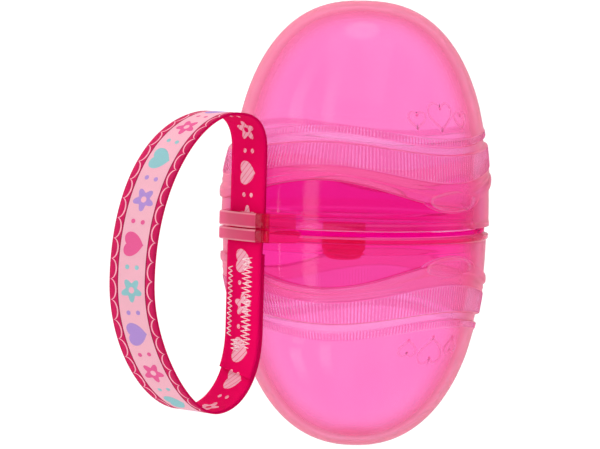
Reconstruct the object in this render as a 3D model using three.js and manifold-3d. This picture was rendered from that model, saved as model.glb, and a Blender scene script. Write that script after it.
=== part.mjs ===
// An egg-shaped pacifier case: two clear moulded caps pushed onto a tinted divider, with a ribbon
// threaded through a lug on each cap. Run it with the npm packages three and manifold-3d.
import * as THREE from "three";
import { mergeVertices } from "three/addons/utils/BufferGeometryUtils.js";
import Module from "manifold-3d";

const wasm = await Module();
wasm.setup();

// Frame: +Z is the long axis, the front with the thumb dishes faces -Y, the ribbon hangs off -X.
// The origin is the middle of the small flat that the case stands on. Heights below are measured
// from the parting plane, where the two caps meet.

// Outline of the two caps, in millimetres
const upperHeight = 56;
const lowerHeight = 55;
const upperRadius = 32.5;
const lowerRadius = 32;
const wallThickness = 1.8;
const mouthWall = 1.9;
const endFlatRadius = 6.5;
// Fullness of each outline: 2 is an ellipse and more is squarer
const upperFullness = 2.5;
const lowerFullness = 2.3;

// Swelling of the body towards the ribbon, whole near the parting plane and gone higher up
const swellDepth = 2.8;
const swellWholeHeight = 10;
const swellEndHeight = 29;
const swellSharpness = 1.5;

// Rims, with a V-groove between them; the lower one carries a bead
const rimSeatHeight = 0.75;
const rimEdgeHeight = 1.1;
const rimChamfer = 1.1;
const rimBeadProud = 0.4;
const rimBeadHeight = 0.8;
const neckRelief = 0.1;

// Waved grip band: its foot, and the heights of the roll, the ribbed field, the groove and the stripe
const bandFootHeight = 9.9;
const rollHeight = 4.5;
const fieldHeight = 6;
const grooveHeight = 1.95;
const stripeHeight = 1.95;
// How far the foot, the top of the roll and the lines above swing up and down, and the waves in a turn
const footWave = 3.1;
const rollWave = 2.1;
const fieldWave = 1.4;
const waveCount = 3;
// How far the roll, the field and the stripe stand out, how deep the groove is, and the run of a step
const rollProud = 0.65;
const fieldProud = 0.15;
const grooveDepth = 0.6;
const stepRun = 0.2;
// How far the roll's foot dips round the thumb dish, and how far to each side
const footDip = 1.8;
const footDipReach = 10.5;

// Thumb dishes at the front, on the trough of the wave
const dishWidth = 14.5;
const dishHeight = 5.2;
const dishDepth = 0.9;
const dishCentreHeight = 8.2;
const dishBallDepth = 3;

// Divider: a disc with a collar each way, a rim held between the caps and a boss underneath
const collarWall = 1.5;
const collarHeight = 5;
const collarLead = 0.6;
const discThickness = 1.5;
const rimFlangeInset = 0.6;
const rimFlangeThickness = 0.9;
const bossRadius = 5.4;
const bossDrop = 8.2;
const bossOffset = 5;
const bossRound = 1.6;
// Bead round the collar that snaps into a groove in each cap
const snapHeight = 3.2;
const snapProud = 0.2;
const snapHalfWidth = 0.5;

// Clearances
const fitGap = 0.3;
const snapGap = 0.1;
const lugFaceGap = 0.3;

// Lugs for the ribbon, one on each cap; they meet a little above the parting plane
const lugHalfWidth = 13.5;
const lugBar = 2;
const lugFaceHeight = 0.65;
const upperLugHeight = 3.55;
const lowerLugHeight = 3.05;
const lugBevel = 0.45;
const slotStandoff = 0.8;
const slotSlack = 0.3;
const slotEndSlack = 0.6;
const slotCorner = 0.7;

// Ribbon: a flat band threaded through both slots and sewn to itself as a loop
const ribbonWidth = 12;
const ribbonThickness = 0.9;
const loopReach = 36.4;
const loopTop = 28.3;
const loopBottom = -42.3;
const loopTopReach = 12.8;
const loopBottomReach = 14.5;
const loopFarHeight = -11;
const straightTop = 19;
const straightBottom = -24;
const overlapTop = -5.5;
const overlapLength = 32;

// Facets
const roundFacets = 60;
const domeRings = 7;
const innerRings = 6;
const lugFacets = 20;
const bossFacets = 32;
const ballFacets = 32;
const cornerFacets = 18;

// Shares: how round each corner of the loop is, how much of a lug is straight, and the roll's shoulders
const nearCornerShare = 0.68;
const topCornerShare = 0.6;
const farCornerShare = 0.55;
const bottomCornerShare = 0.6;
const lugStraightShare = 0.6;
const rollFootShare = 0.8;
const rollBackShare = 0.7;

// Lines of the grip band, worked out from its foot
const fieldFoot = bandFootHeight + rollHeight;
const grooveFoot = fieldFoot + fieldHeight;
const stripeFoot = grooveFoot + grooveHeight;
const bandTop = stripeFoot + stripeHeight;

// Places from the axis towards the ribbon
const widestRadius = Math.max(upperRadius, lowerRadius);
const wallAtRibbon = widestRadius + swellDepth;
const slotInner = wallAtRibbon + slotStandoff;
const ribbonNear = slotInner + slotSlack + ribbonThickness / 2;
const slotOuter = ribbonNear + ribbonThickness / 2 + ribbonThickness + slotSlack;
const lugReach = slotOuter + lugBar;
const lugHalfTurn = Math.asin(lugHalfWidth / wallAtRibbon);

// Bore of each cap's mouth, the collar that it goes over and the groove in it for the collar's bead
const narrowestRadius = Math.min(upperRadius, lowerRadius);
const boreRadius = narrowestRadius - mouthWall;
const collarRadius = boreRadius - fitGap;
const rimFlangeRadius = narrowestRadius - rimFlangeInset;
const snapGrooveRadius = boreRadius + snapProud + snapGap;

const upper = { radius: upperRadius, height: upperHeight, fullness: upperFullness, side: 1 };
const lower = { radius: lowerRadius, height: lowerHeight, fullness: lowerFullness, side: -1 };

const outlineRadius = ({ radius, height, fullness }, z) =>
  radius * (1 - (z / height) ** fullness) ** (1 / fullness);
const outlineHeight = ({ radius, height, fullness }, r) =>
  height * (1 - (r / radius) ** fullness) ** (1 / fullness);

// Height of the parting plane over the flat that the case stands on
const partingHeight = outlineHeight(lower, endFlatRadius);

const eased = (t) => t * t * (3 - 2 * t);

// Extra radius at a turn away from the ribbon and a height: whole at the ribbon, nothing at the front
function swell(turn, z) {
  const fade = THREE.MathUtils.clamp(
    (Math.abs(z) - swellWholeHeight) / (swellEndHeight - swellWholeHeight), 0, 1,
  );
  return swellDepth * Math.max(0, Math.cos(turn)) ** swellSharpness * (1 - eased(fade));
}

// Rise of a band line at an angle from the front: lowest at the front, where the dish is
function bandRise(angle, wave, dip) {
  const past = (Math.acos(Math.cos(angle)) * narrowestRadius) / footDipReach;
  return -wave * Math.cos(waveCount * angle) - dip * eased(Math.max(0, 1 - past));
}

// A closed surface of revolution from stations that run from the inside of the axis to the outside.
// Each has a radius, a height and the wave and dip that move it; side is 1 above the parting plane.
function lathed(stations, side) {
  const ordered = side > 0 ? stations : [...stations].reverse();
  const profile = ordered.map(({ r, z }) => new THREE.Vector2(r, z));
  const geometry = new THREE.LatheGeometry(profile, roundFacets);
  const position = geometry.getAttribute("position");
  for (let i = 0; i < position.count; i++) {
    const { r, z, wave = 0, dip = 0 } = ordered[i % ordered.length];
    const angle = (Math.floor(i / ordered.length) / roundFacets) * Math.PI * 2;
    const height = z + bandRise(angle, wave, dip);
    const radius = r > 0 ? r + swell(angle + Math.PI / 2, height) : 0;
    position.setXYZ(i, radius * Math.sin(angle), -radius * Math.cos(angle), side * height);
  }
  return geometry;
}

// A three.js geometry, placed by a matrix, as a solid to join and cut
function solid(geometry, matrix = new THREE.Matrix4()) {
  const bare = geometry.clone().applyMatrix4(matrix);
  bare.deleteAttribute("normal");
  bare.deleteAttribute("uv");
  const merged = mergeVertices(bare);
  return new wasm.Manifold(new wasm.Mesh({
    numProp: 3,
    vertProperties: merged.getAttribute("position").array,
    triVerts: new Uint32Array(merged.index.array),
  }));
}

function geometryOf(body) {
  const { vertProperties, triVerts } = body.getMesh();
  const geometry = new THREE.BufferGeometry();
  geometry.setAttribute("position", new THREE.BufferAttribute(vertProperties, 3));
  geometry.setIndex(new THREE.BufferAttribute(triVerts, 1));
  geometry.computeVertexNormals();
  return geometry;
}

// Where a piece that is made level with the parting plane goes: a height on the cap's own side
const onSide = ({ side }, z) => new THREE.Matrix4().makeTranslation(0, 0, side * z);

// Stations along a superellipse between two heights, closer together where it turns faster
function outlineStations(outline, from, to, count, wave) {
  const turnAt = (z) => Math.asin((z / outline.height) ** (outline.fullness / 2));
  return Array.from({ length: count }, (_, i) => {
    const share = i / (count - 1);
    const z = outline.height * Math.sin(THREE.MathUtils.lerp(turnAt(from), turnAt(to), share))
      ** (2 / outline.fullness);
    return { r: outlineRadius(outline, z), z, wave: wave * (1 - share) };
  });
}

// Outside of a cap, from its rim up over the grip band to its end flat
function outsideStations(cap, beadProud) {
  const at = (z, proud, wave, dip = 0) => ({ r: outlineRadius(cap, z) + proud, z, wave, dip });
  const flat = outlineHeight(cap, endFlatRadius);
  return [
    at(rimSeatHeight, -rimChamfer, 0),
    at(rimEdgeHeight, beadProud, 0),
    at(rimEdgeHeight + rimBeadHeight, beadProud, 0),
    at(rimEdgeHeight + rimBeadHeight + rimBeadProud, -neckRelief, 0),
    at(bandFootHeight - stepRun, -neckRelief, footWave, footDip),
    at(bandFootHeight, rollProud * rollFootShare, footWave, footDip),
    at(bandFootHeight + stepRun * 2, rollProud, footWave, footDip),
    at(bandFootHeight + rollHeight / 2, rollProud * rollBackShare, (footWave + rollWave) / 2, footDip / 2),
    at(fieldFoot - stepRun, -neckRelief, rollWave),
    at(fieldFoot + stepRun, fieldProud, rollWave),
    at(grooveFoot - stepRun, fieldProud, fieldWave),
    at(grooveFoot + stepRun, -grooveDepth, fieldWave),
    at(stripeFoot - stepRun, -grooveDepth, fieldWave),
    at(stripeFoot + stepRun, 0, fieldWave),
    at(bandTop - stepRun, 0, fieldWave),
    at(bandTop + stepRun, -neckRelief, fieldWave),
    ...outlineStations(cap, bandTop + stripeHeight, flat, domeRings, fieldWave),
    { r: 0, z: flat },
  ];
}

// Inside of a cap, from the axis down to its mouth, with the groove that takes the divider's bead
function insideStations(cap) {
  const inner = { ...cap, radius: cap.radius - wallThickness, height: cap.height - wallThickness };
  const mouthTop = collarHeight + fitGap;
  const flat = outlineHeight(inner, endFlatRadius);
  const wall = outlineStations(inner, mouthTop + wallThickness, flat, innerRings, 0)
    .map(({ r, z }) => ({ r: Math.min(boreRadius, r), z }));
  return [
    { r: 0, z: flat },
    ...wall.reverse(),
    { r: boreRadius, z: mouthTop },
    { r: boreRadius, z: snapHeight + snapHalfWidth * 2 },
    { r: snapGrooveRadius, z: snapHeight + snapHalfWidth },
    { r: snapGrooveRadius, z: snapHeight - snapHalfWidth },
    { r: boreRadius, z: snapHeight - snapHalfWidth * 2 },
    { r: boreRadius, z: rimSeatHeight },
  ];
}

// The lug seen from above, with the ribbon slot as a hole: a bar that runs back into the wall
function lugShape(cap) {
  const rise = lugReach - wallAtRibbon;
  const edge = (turn, radius, out) => {
    const r = radius + swell(turn, 0);
    return new THREE.Vector2(-r * Math.cos(turn) - out, r * Math.sin(turn));
  };
  const outer = [];
  const root = [];
  for (let i = 0; i <= lugFacets; i++) {
    const share = (2 * i) / lugFacets - 1;
    const past = (Math.abs(share) - lugStraightShare) / (1 - lugStraightShare);
    const out = rise * (1 - eased(THREE.MathUtils.clamp(past, 0, 1)));
    const squared = cap.radius - neckRelief + (widestRadius - cap.radius) * (out / rise);
    outer.push(edge(share * lugHalfTurn, squared, out));
    root.push(edge(-share * lugHalfTurn, snapGrooveRadius + stepRun, 0));
  }
  const half = ribbonWidth / 2 + slotEndSlack;
  const slot = new THREE.Path();
  slot.moveTo(-slotInner, half - slotCorner);
  slot.quadraticCurveTo(-slotInner, half, -slotInner - slotCorner, half);
  slot.lineTo(-slotOuter + slotCorner, half);
  slot.quadraticCurveTo(-slotOuter, half, -slotOuter, half - slotCorner);
  slot.lineTo(-slotOuter, slotCorner - half);
  slot.quadraticCurveTo(-slotOuter, -half, -slotOuter + slotCorner, -half);
  slot.lineTo(-slotInner - slotCorner, -half);
  slot.quadraticCurveTo(-slotInner, -half, -slotInner, slotCorner - half);
  const shape = new THREE.Shape([...outer, ...root]);
  shape.holes.push(slot);
  return shape;
}

function lug(cap, height) {
  const geometry = new THREE.ExtrudeGeometry(lugShape(cap), {
    depth: height - lugBevel * 2,
    curveSegments: 3,
    bevelThickness: lugBevel,
    bevelSize: lugBevel,
    bevelOffset: -lugBevel,
    bevelSegments: 2,
  });
  geometry.translate(0, 0, lugBevel - height / 2);
  return solid(geometry, onSide(cap, cap.side * lugFaceHeight + (lugFaceGap + height) / 2));
}

// The flattened ball that scoops the thumb dish out of the roll
function dishBall(cap) {
  const roll = outlineRadius(cap, dishCentreHeight) + rollProud;
  const centre = roll - rollProud - dishDepth + dishBallDepth;
  const shareAt = (level) => Math.sqrt(1 - ((centre - level) / dishBallDepth) ** 2);
  const halfAcross = dishWidth / 2 / shareAt(Math.sqrt(roll ** 2 - (dishWidth / 2) ** 2));
  const halfUp = dishHeight / 2 / shareAt(roll);
  const ball = new THREE.SphereGeometry(1, ballFacets, ballFacets / 2);
  ball.scale(halfAcross, dishBallDepth, halfUp);
  ball.translate(0, -centre, 0);
  return solid(ball, onSide(cap, dishCentreHeight));
}

// The room between the rims for the divider's flange; the lugs start outside it
function rimRoom(cap) {
  return solid(lathed([
    { r: 0, z: -rimSeatHeight },
    { r: cap.radius, z: -rimSeatHeight },
    { r: cap.radius, z: rimSeatHeight },
    { r: 0, z: rimSeatHeight },
  ], cap.side));
}

function capBody(cap, lugHeight, beadProud) {
  const stations = [...insideStations(cap), ...outsideStations(cap, beadProud)];
  return solid(lathed(stations, cap.side))
    .add(lug(cap, lugHeight))
    .subtract(rimRoom(cap))
    .subtract(dishBall(cap));
}

// One side of the divider's section, from the middle of its rim flange to the axis
function dividerStations(side) {
  const at = (r, z) => ({ r, z: z * side });
  return [
    at(rimFlangeRadius, rimFlangeThickness / 2),
    at(collarRadius, rimFlangeThickness / 2),
    at(collarRadius, snapHeight - snapHalfWidth),
    at(collarRadius + snapProud, snapHeight),
    at(collarRadius, snapHeight + snapHalfWidth),
    at(collarRadius, collarHeight - collarLead),
    at(collarRadius - collarLead, collarHeight),
    at(collarRadius - collarWall, collarHeight),
    at(collarRadius - collarWall, discThickness / 2),
    at(0, discThickness / 2),
  ];
}

function dividerBody() {
  const ring = solid(lathed([...dividerStations(-1).reverse(), ...dividerStations(1)], 1));
  const section = new THREE.Path();
  section.moveTo(0, -bossDrop);
  section.lineTo(bossRadius - bossRound, -bossDrop);
  section.quadraticCurveTo(bossRadius, -bossDrop, bossRadius, bossRound - bossDrop);
  section.lineTo(bossRadius, 0);
  section.lineTo(0, 0);
  const boss = new THREE.LatheGeometry(section.getPoints(4), bossFacets);
  boss.rotateX(Math.PI / 2);
  boss.translate(-bossOffset, 0, 0);
  return ring.add(solid(boss));
}

// Middle line of the ribbon: x is the distance from the axis and y the height
function loopPath() {
  const { lerp } = THREE.MathUtils;
  const far = ribbonNear + loopReach;
  const topX = ribbonNear + loopTopReach;
  const bottomX = ribbonNear + loopBottomReach;
  const path = new THREE.Path();
  path.moveTo(ribbonNear, straightBottom);
  path.lineTo(ribbonNear, straightTop);
  path.bezierCurveTo(
    ribbonNear, lerp(straightTop, loopTop, nearCornerShare),
    lerp(topX, ribbonNear, nearCornerShare), loopTop,
    topX, loopTop,
  );
  path.bezierCurveTo(
    lerp(topX, far, farCornerShare), loopTop,
    far, lerp(loopFarHeight, loopTop, topCornerShare),
    far, loopFarHeight,
  );
  path.bezierCurveTo(
    far, lerp(loopFarHeight, loopBottom, farCornerShare),
    lerp(bottomX, far, bottomCornerShare), loopBottom,
    bottomX, loopBottom,
  );
  path.bezierCurveTo(
    lerp(bottomX, ribbonNear, bottomCornerShare), loopBottom,
    ribbonNear, lerp(straightBottom, loopBottom, bottomCornerShare),
    ribbonNear, straightBottom,
  );
  return path;
}

// Shares of the loop's length at which its edges get a point: none along the straight run
function loopShares(path) {
  const ends = path.getCurveLengths();
  const total = path.getLength();
  return path.curves.flatMap((curve, k) => {
    const start = k > 0 ? ends[k - 1] : 0;
    const count = curve.isLineCurve ? 1 : cornerFacets;
    return Array.from({ length: count }, (_, i) => (start + ((ends[k] - start) * i) / count) / total);
  });
}

// The ribbon from its two edges, with the sewn overlap as a second layer on the inside of the loop
function ribbonGeometry() {
  const path = loopPath();
  const total = path.getLength();
  const overlapStart = overlapTop - straightBottom;
  const singleFrom = overlapStart / total;
  const singleTo = 1 - (overlapLength - overlapStart) / total;
  const shares = loopShares(path);
  const edge = (share, layers) => {
    const tangent = path.getTangentAt(share);
    const outward = new THREE.Vector2(-tangent.y, tangent.x);
    return path.getPointAt(share).addScaledVector(outward, ribbonThickness * (1 / 2 - layers));
  };
  const inside = [
    ...shares.filter((share) => share < singleFrom).map((share) => edge(share, 2)),
    edge(singleFrom, 2),
    edge(singleFrom, 1),
    ...shares.filter((share) => share > singleFrom && share < singleTo).map((share) => edge(share, 1)),
    edge(singleTo, 1),
    edge(singleTo, 2),
    ...shares.filter((share) => share > singleTo).map((share) => edge(share, 2)),
  ];
  const shape = new THREE.Shape(shares.map((share) => edge(share, 0)).reverse());
  shape.holes.push(new THREE.Path(inside));
  const geometry = new THREE.ExtrudeGeometry(shape, { depth: ribbonWidth, bevelEnabled: false });
  geometry.translate(0, 0, -ribbonWidth / 2);
  geometry.rotateX(Math.PI / 2);
  geometry.rotateZ(Math.PI);
  return geometry;
}

// Finishes
const clearPink = new THREE.MeshStandardMaterial({
  color: 0xff6db8, roughness: 0.12, metalness: 0, transparent: true, opacity: 0.6,
});
const tintedPink = new THREE.MeshStandardMaterial({
  color: 0xe8147d, roughness: 0.2, metalness: 0, transparent: true, opacity: 0.8,
});
const wovenRibbon = new THREE.MeshStandardMaterial({ color: 0xd6125a, roughness: 0.85, metalness: 0 });

function piece(name, geometry, material) {
  const mesh = new THREE.Mesh(geometry, material);
  mesh.name = name;
  mesh.position.z = partingHeight;
  return mesh;
}

const upperShell = piece("upper_shell", geometryOf(capBody(upper, upperLugHeight, 0)), clearPink);
const lowerShell = piece("lower_shell", geometryOf(capBody(lower, lowerLugHeight, rimBeadProud)), clearPink);
const divider = piece("divider", geometryOf(dividerBody()), tintedPink);
const ribbon = piece("strap_ribbon", ribbonGeometry(), wovenRibbon);

const pacifierCase = new THREE.Group();
pacifierCase.add(upperShell, lowerShell, divider, ribbon);

export default pacifierCase;
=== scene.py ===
"""Looks of an egg-shaped pacifier case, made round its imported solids.

Two clear caps push onto a tinted divider, and a woven ribbon is threaded through a lug on each cap.
Heights in the classes are measured from the parting plane, where the two caps meet, in metres.
The front with the thumb dishes faces -Y and the ribbon hangs off -X.
"""
import logging
import math
from dataclasses import dataclass, field, replace
from enum import Enum, IntEnum

import bmesh
import bpy
from mathutils import Matrix, Vector


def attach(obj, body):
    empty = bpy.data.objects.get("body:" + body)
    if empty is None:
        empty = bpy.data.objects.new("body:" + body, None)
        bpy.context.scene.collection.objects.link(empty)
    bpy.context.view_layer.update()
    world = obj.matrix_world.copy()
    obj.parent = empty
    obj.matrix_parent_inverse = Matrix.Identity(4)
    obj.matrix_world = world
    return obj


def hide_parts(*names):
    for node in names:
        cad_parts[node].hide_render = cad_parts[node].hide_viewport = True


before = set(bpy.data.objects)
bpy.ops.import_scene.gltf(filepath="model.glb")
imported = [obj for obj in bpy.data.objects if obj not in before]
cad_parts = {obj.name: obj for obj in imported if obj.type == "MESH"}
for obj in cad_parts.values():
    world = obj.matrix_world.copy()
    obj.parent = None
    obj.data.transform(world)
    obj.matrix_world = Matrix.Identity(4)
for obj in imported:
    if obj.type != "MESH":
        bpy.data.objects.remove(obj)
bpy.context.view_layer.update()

LOG = logging.getLogger("pacifier_case")
MM = 0.001
TURN = 2 * math.pi
# Points closer than this are one point
MERGE = 0.002 * MM
# The least steps of a wedge that is spun and then copied round
WEDGE_STEPS = 24
# Common to every rounded edge
BEVEL = {"profile": 0.5, "affect": "EDGES", "material": -1}
# An edge whose direction has more than this along Z stands upright
UPRIGHT = 0.9
# Edges that turn by less than this many degrees are shaded smooth: on most pieces, and on thin round lines
SMOOTH_BELOW = 35.0
SMOOTH_ALL = 80.0


def eased(share: float) -> float:
    """A smooth step from 0 to 1 for a share, held at 0 and 1 outside them."""
    held = min(1.0, max(0.0, share))
    return held * held * (3 - 2 * held)


def between(start: float, end: float, share: float) -> float:
    """The value at a share of the way from start to end."""
    return start + (end - start) * share


def spaced(start: float, end: float, count: int) -> list[float]:
    """Values from start up to, but without, end, at even steps.

    Args:
        start: the first value.
        end: the value that the next run starts with.
        count: how many values.

    Returns:
        The values in order.
    """
    return [between(start, end, i / count) for i in range(count)]


class Side(Enum):
    """Which side of the parting plane a cap lies on."""

    UPPER = 1
    LOWER = -1


class Dress(IntEnum):
    """The finishes of a cap, in the order of its material slots."""

    MOULDING = 0
    SATIN_BAR = 1
    LUG = 2
    RELIEF = 3
    BAND = 4


@dataclass(frozen=True)
class Outline:
    """The superellipse that a cap's wall follows.

    Args:
        radius: the radius at the parting plane.
        height: the height of its end over the parting plane.
        fullness: 2 is an ellipse and more is squarer.
    """

    radius: float
    height: float
    fullness: float

    def radius_at(self, height: float) -> float:
        """The outline's radius at a height over the parting plane."""
        share = min(1.0, abs(height) / self.height)
        return self.radius * (1 - share ** self.fullness) ** (1 / self.fullness)

    def height_at(self, radius: float) -> float:
        """The outline's height at a radius."""
        share = min(1.0, radius / self.radius)
        return self.height * (1 - share ** self.fullness) ** (1 / self.fullness)

    def inset(self, wall: float) -> "Outline":
        """The outline of the inside, one wall in."""
        return Outline(self.radius - wall, self.height - wall, self.fullness)

    def rings(self, low: float, high: float, count: int) -> list[float]:
        """Heights from low up to and with high, closer together where the outline is steep to the axis."""
        turns = [math.asin((height / self.height) ** (self.fullness / 2)) for height in (low, high)]
        return [
            self.height * math.sin(turn) ** (2 / self.fullness)
            for turn in [*spaced(*turns, count), turns[1]]
        ]


@dataclass(frozen=True)
class Body:
    """Sizes that the caps and the divider share."""

    upper: Outline = Outline(32.5 * MM, 56 * MM, 2.44)
    lower: Outline = Outline(32 * MM, 55 * MM, 2.3)
    end_flat: float = 6.5 * MM
    end_tip: float = 0.3 * MM
    swell_depth: float = 2.8 * MM
    swell_whole: float = 10 * MM
    swell_end: float = 29 * MM
    swell_sharpness: float = 1.5
    bore: float = 30.1 * MM
    fit_gap: float = 0.3 * MM

    @property
    def parting(self) -> float:
        """Height of the parting plane over the flat that the case stands on."""
        return self.lower.height_at(self.end_flat)

    @property
    def wall_at_ribbon(self) -> float:
        """Distance of the swelled wall from the axis, at the ribbon."""
        return max(self.upper.radius, self.lower.radius) + self.swell_depth

    def outline(self, side: Side) -> Outline:
        """The outline of the cap on a side."""
        return self.upper if side is Side.UPPER else self.lower

    def swell(self, front_angle: float, height: float) -> float:
        """Extra radius towards the ribbon.

        Args:
            front_angle: the angle round the axis from the front, in radians.
            height: the height over or under the parting plane.

        Returns:
            The whole swell at the ribbon near the parting plane, and nothing at the front.
        """
        towards = max(0.0, -math.sin(front_angle)) ** self.swell_sharpness
        fade = (abs(height) - self.swell_whole) / (self.swell_end - self.swell_whole)
        return self.swell_depth * towards * (1 - eased(fade))


BODY = Body()


def front_angle(point: Vector) -> float:
    """The angle of a point round the axis, from the front towards +X."""
    return math.atan2(point.x, -point.y)


def placed(point: Vector, angle: float, radius: float, height: float) -> None:
    """Moves a vertex to an angle from the front, a radius and a height."""
    point.x = radius * math.sin(angle)
    point.y = -radius * math.cos(angle)
    point.z = height


def swelled(bm: bmesh.types.BMesh, side: int = 1) -> None:
    """Moves a round surface out with the swell towards the ribbon.

    Args:
        bm: the surface, with heights over the parting plane.
        side: -1 mirrors it to below the plane.
    """
    for vert in bm.verts:
        radius, height = vert.co.xy.length, vert.co.z
        if radius > MERGE:
            angle = front_angle(vert.co)
            placed(vert.co, angle, radius + BODY.swell(angle, height), side * height)
        else:
            vert.co.z = side * height


def spun(profile: list[tuple[float, float]], steps: int) -> bmesh.types.BMesh:
    """Spins a profile of radii and heights once round the axis.

    A short wedge is spun first and then copied round by doubling, which is much quicker.

    Args:
        profile: radius and height pairs, in order.
        steps: how many steps the turn has.

    Returns:
        The new surface, closed round the turn.
    """
    bm = bmesh.new()
    verts = [bm.verts.new((0, -radius, height)) for radius, height in profile]
    edges = [bm.edges.new(pair) for pair in zip(verts, verts[1:])]
    wedge, doublings = steps, 0
    while wedge % 2 == 0 and wedge > WEDGE_STEPS:
        wedge, doublings = wedge // 2, doublings + 1
    angle = TURN * wedge / steps
    bmesh.ops.spin(
        bm, geom=[*verts, *edges], axis=(0, 0, 1), cent=(0, 0, 0), angle=angle, steps=wedge,
    )
    for _ in range(doublings):
        copied = bmesh.ops.duplicate(bm, geom=[*bm.verts, *bm.edges, *bm.faces])["geom"]
        moved = [item for item in copied if isinstance(item, bmesh.types.BMVert)]
        bmesh.ops.rotate(bm, cent=(0, 0, 0), matrix=Matrix.Rotation(angle, 3, "Z"), verts=moved)
        angle *= 2
    bmesh.ops.remove_doubles(bm, verts=bm.verts, dist=MERGE)
    return bm


def finished(bm: bmesh.types.BMesh, name: str, smooth_below: float = SMOOTH_BELOW) -> bpy.types.Object:
    """Turns a bmesh into an object with closed poles, outward faces and sharp edges over an angle.

    Args:
        bm: the mesh, which is freed.
        name: the piece's name.
        smooth_below: edges that turn by more than this many degrees stay sharp.

    Returns:
        The new object, at the origin.
    """
    bmesh.ops.remove_doubles(bm, verts=bm.verts, dist=MERGE)
    bmesh.ops.recalc_face_normals(bm, faces=bm.faces)
    for face in bm.faces:
        face.smooth = True
    for edge in bm.edges:
        edge.smooth = edge.calc_face_angle(0.0) < math.radians(smooth_below)
    mesh = bpy.data.meshes.new(name)
    bm.to_mesh(mesh)
    bm.free()
    obj = bpy.data.objects.new(name, mesh)
    bpy.context.scene.collection.objects.link(obj)
    return obj


def applied(obj: bpy.types.Object) -> None:
    """Makes a piece's modifiers part of its mesh."""
    bpy.context.view_layer.update()
    evaluated = obj.evaluated_get(bpy.context.evaluated_depsgraph_get())
    mesh = bpy.data.meshes.new_from_object(evaluated)
    old = obj.data
    obj.modifiers.clear()
    obj.data = mesh
    bpy.data.meshes.remove(old)


def combined(obj: bpy.types.Object, other: bpy.types.Object, operation: str) -> None:
    """Joins or cuts a piece with another, which is used up.

    Args:
        obj: the piece that stays.
        other: the piece that is joined on or cut away.
        operation: UNION or DIFFERENCE.
    """
    boolean = obj.modifiers.new(operation.lower(), "BOOLEAN")
    boolean.operation = operation
    boolean.solver = "MANIFOLD"
    boolean.object = other
    applied(obj)
    bpy.data.objects.remove(other)


def rounded_box(name: str, size: Vector, centre: Vector, corner: float) -> bpy.types.Object:
    """A box whose upright edges are round.

    Args:
        name: the object's name.
        size: its length along each axis.
        centre: its middle.
        corner: the radius of the upright edges.

    Returns:
        The new object.
    """
    bm = bmesh.new()
    bmesh.ops.create_cube(bm, size=1)
    bmesh.ops.scale(bm, vec=size, verts=bm.verts)
    upright = [e for e in bm.edges if abs((e.verts[0].co - e.verts[1].co).normalized().z) > UPRIGHT]
    bmesh.ops.bevel(bm, geom=upright, offset=corner, segments=5, **BEVEL)
    bmesh.ops.translate(bm, vec=centre, verts=bm.verts)
    return finished(bm, name)


# Materials


class Wire:
    """A shader value that Python's operators work on by adding Math nodes."""

    def __init__(self, graph: "Graph", socket: bpy.types.NodeSocket) -> None:
        """Keeps the node graph and the socket that carries the value."""
        self.graph = graph
        self.socket = socket

    def maths(self, operation: str, *values: "Wire | float") -> "Wire":
        """Adds one Math node on this value.

        Args:
            operation: the Math node's operation.
            values: its further inputs.

        Returns:
            The node's output.
        """
        return self.graph.add("ShaderNodeMath", {"operation": operation}, self, *values)

    def __add__(self, other: "Wire | float") -> "Wire":
        """The sum."""
        return self.maths("ADD", other)

    def __mul__(self, other: "Wire | float") -> "Wire":
        """The product."""
        return self.maths("MULTIPLY", other)

    def __sub__(self, other: "Wire | float") -> "Wire":
        """The difference."""
        return self.maths("SUBTRACT", other)

    def __rsub__(self, other: float) -> "Wire":
        """The difference from a number."""
        return (self * -1.0) + other

    def __truediv__(self, other: "Wire | float") -> "Wire":
        """The quotient."""
        return self.maths("DIVIDE", other)

    def __pow__(self, other: float) -> "Wire":
        """The power."""
        return self.maths("POWER", other)

    def __abs__(self) -> "Wire":
        """The size without its sign."""
        return self.maths("ABSOLUTE")

    def __lt__(self, other: "Wire | float") -> "Wire":
        """1 where this is less."""
        return self.maths("LESS_THAN", other)

    def __gt__(self, other: "Wire | float") -> "Wire":
        """1 where this is more."""
        return self.maths("GREATER_THAN", other)

    def __mod__(self, other: float) -> "Wire":
        """What is left over a whole number of times other, never below 0."""
        return self.maths("FLOORED_MODULO", other)

    def floor(self) -> "Wire":
        """The whole number below."""
        return self.maths("FLOOR")

    def sine(self) -> "Wire":
        """The sine, in radians."""
        return self.maths("SINE")

    def cosine(self) -> "Wire":
        """The cosine, in radians."""
        return self.maths("COSINE")

    def either(self, other: "Wire") -> "Wire":
        """The larger of two masks."""
        return self.maths("MAXIMUM", other)

    def around(self, middle: float, spread: float) -> "Wire":
        """A value round middle that varies with this noise, by spread as a share of it."""
        return self * (middle * spread) + middle * (1 - spread / 2)

    def soft_step(self, start: float, end: float) -> "Wire":
        """A smooth rise from 0 at start to 1 at end."""
        return self.graph.add(
            "ShaderNodeMapRange", {"interpolation_type": "SMOOTHSTEP"}, self, start, end, 0.0, 1.0,
        )


Value = Wire | float | tuple


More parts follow.
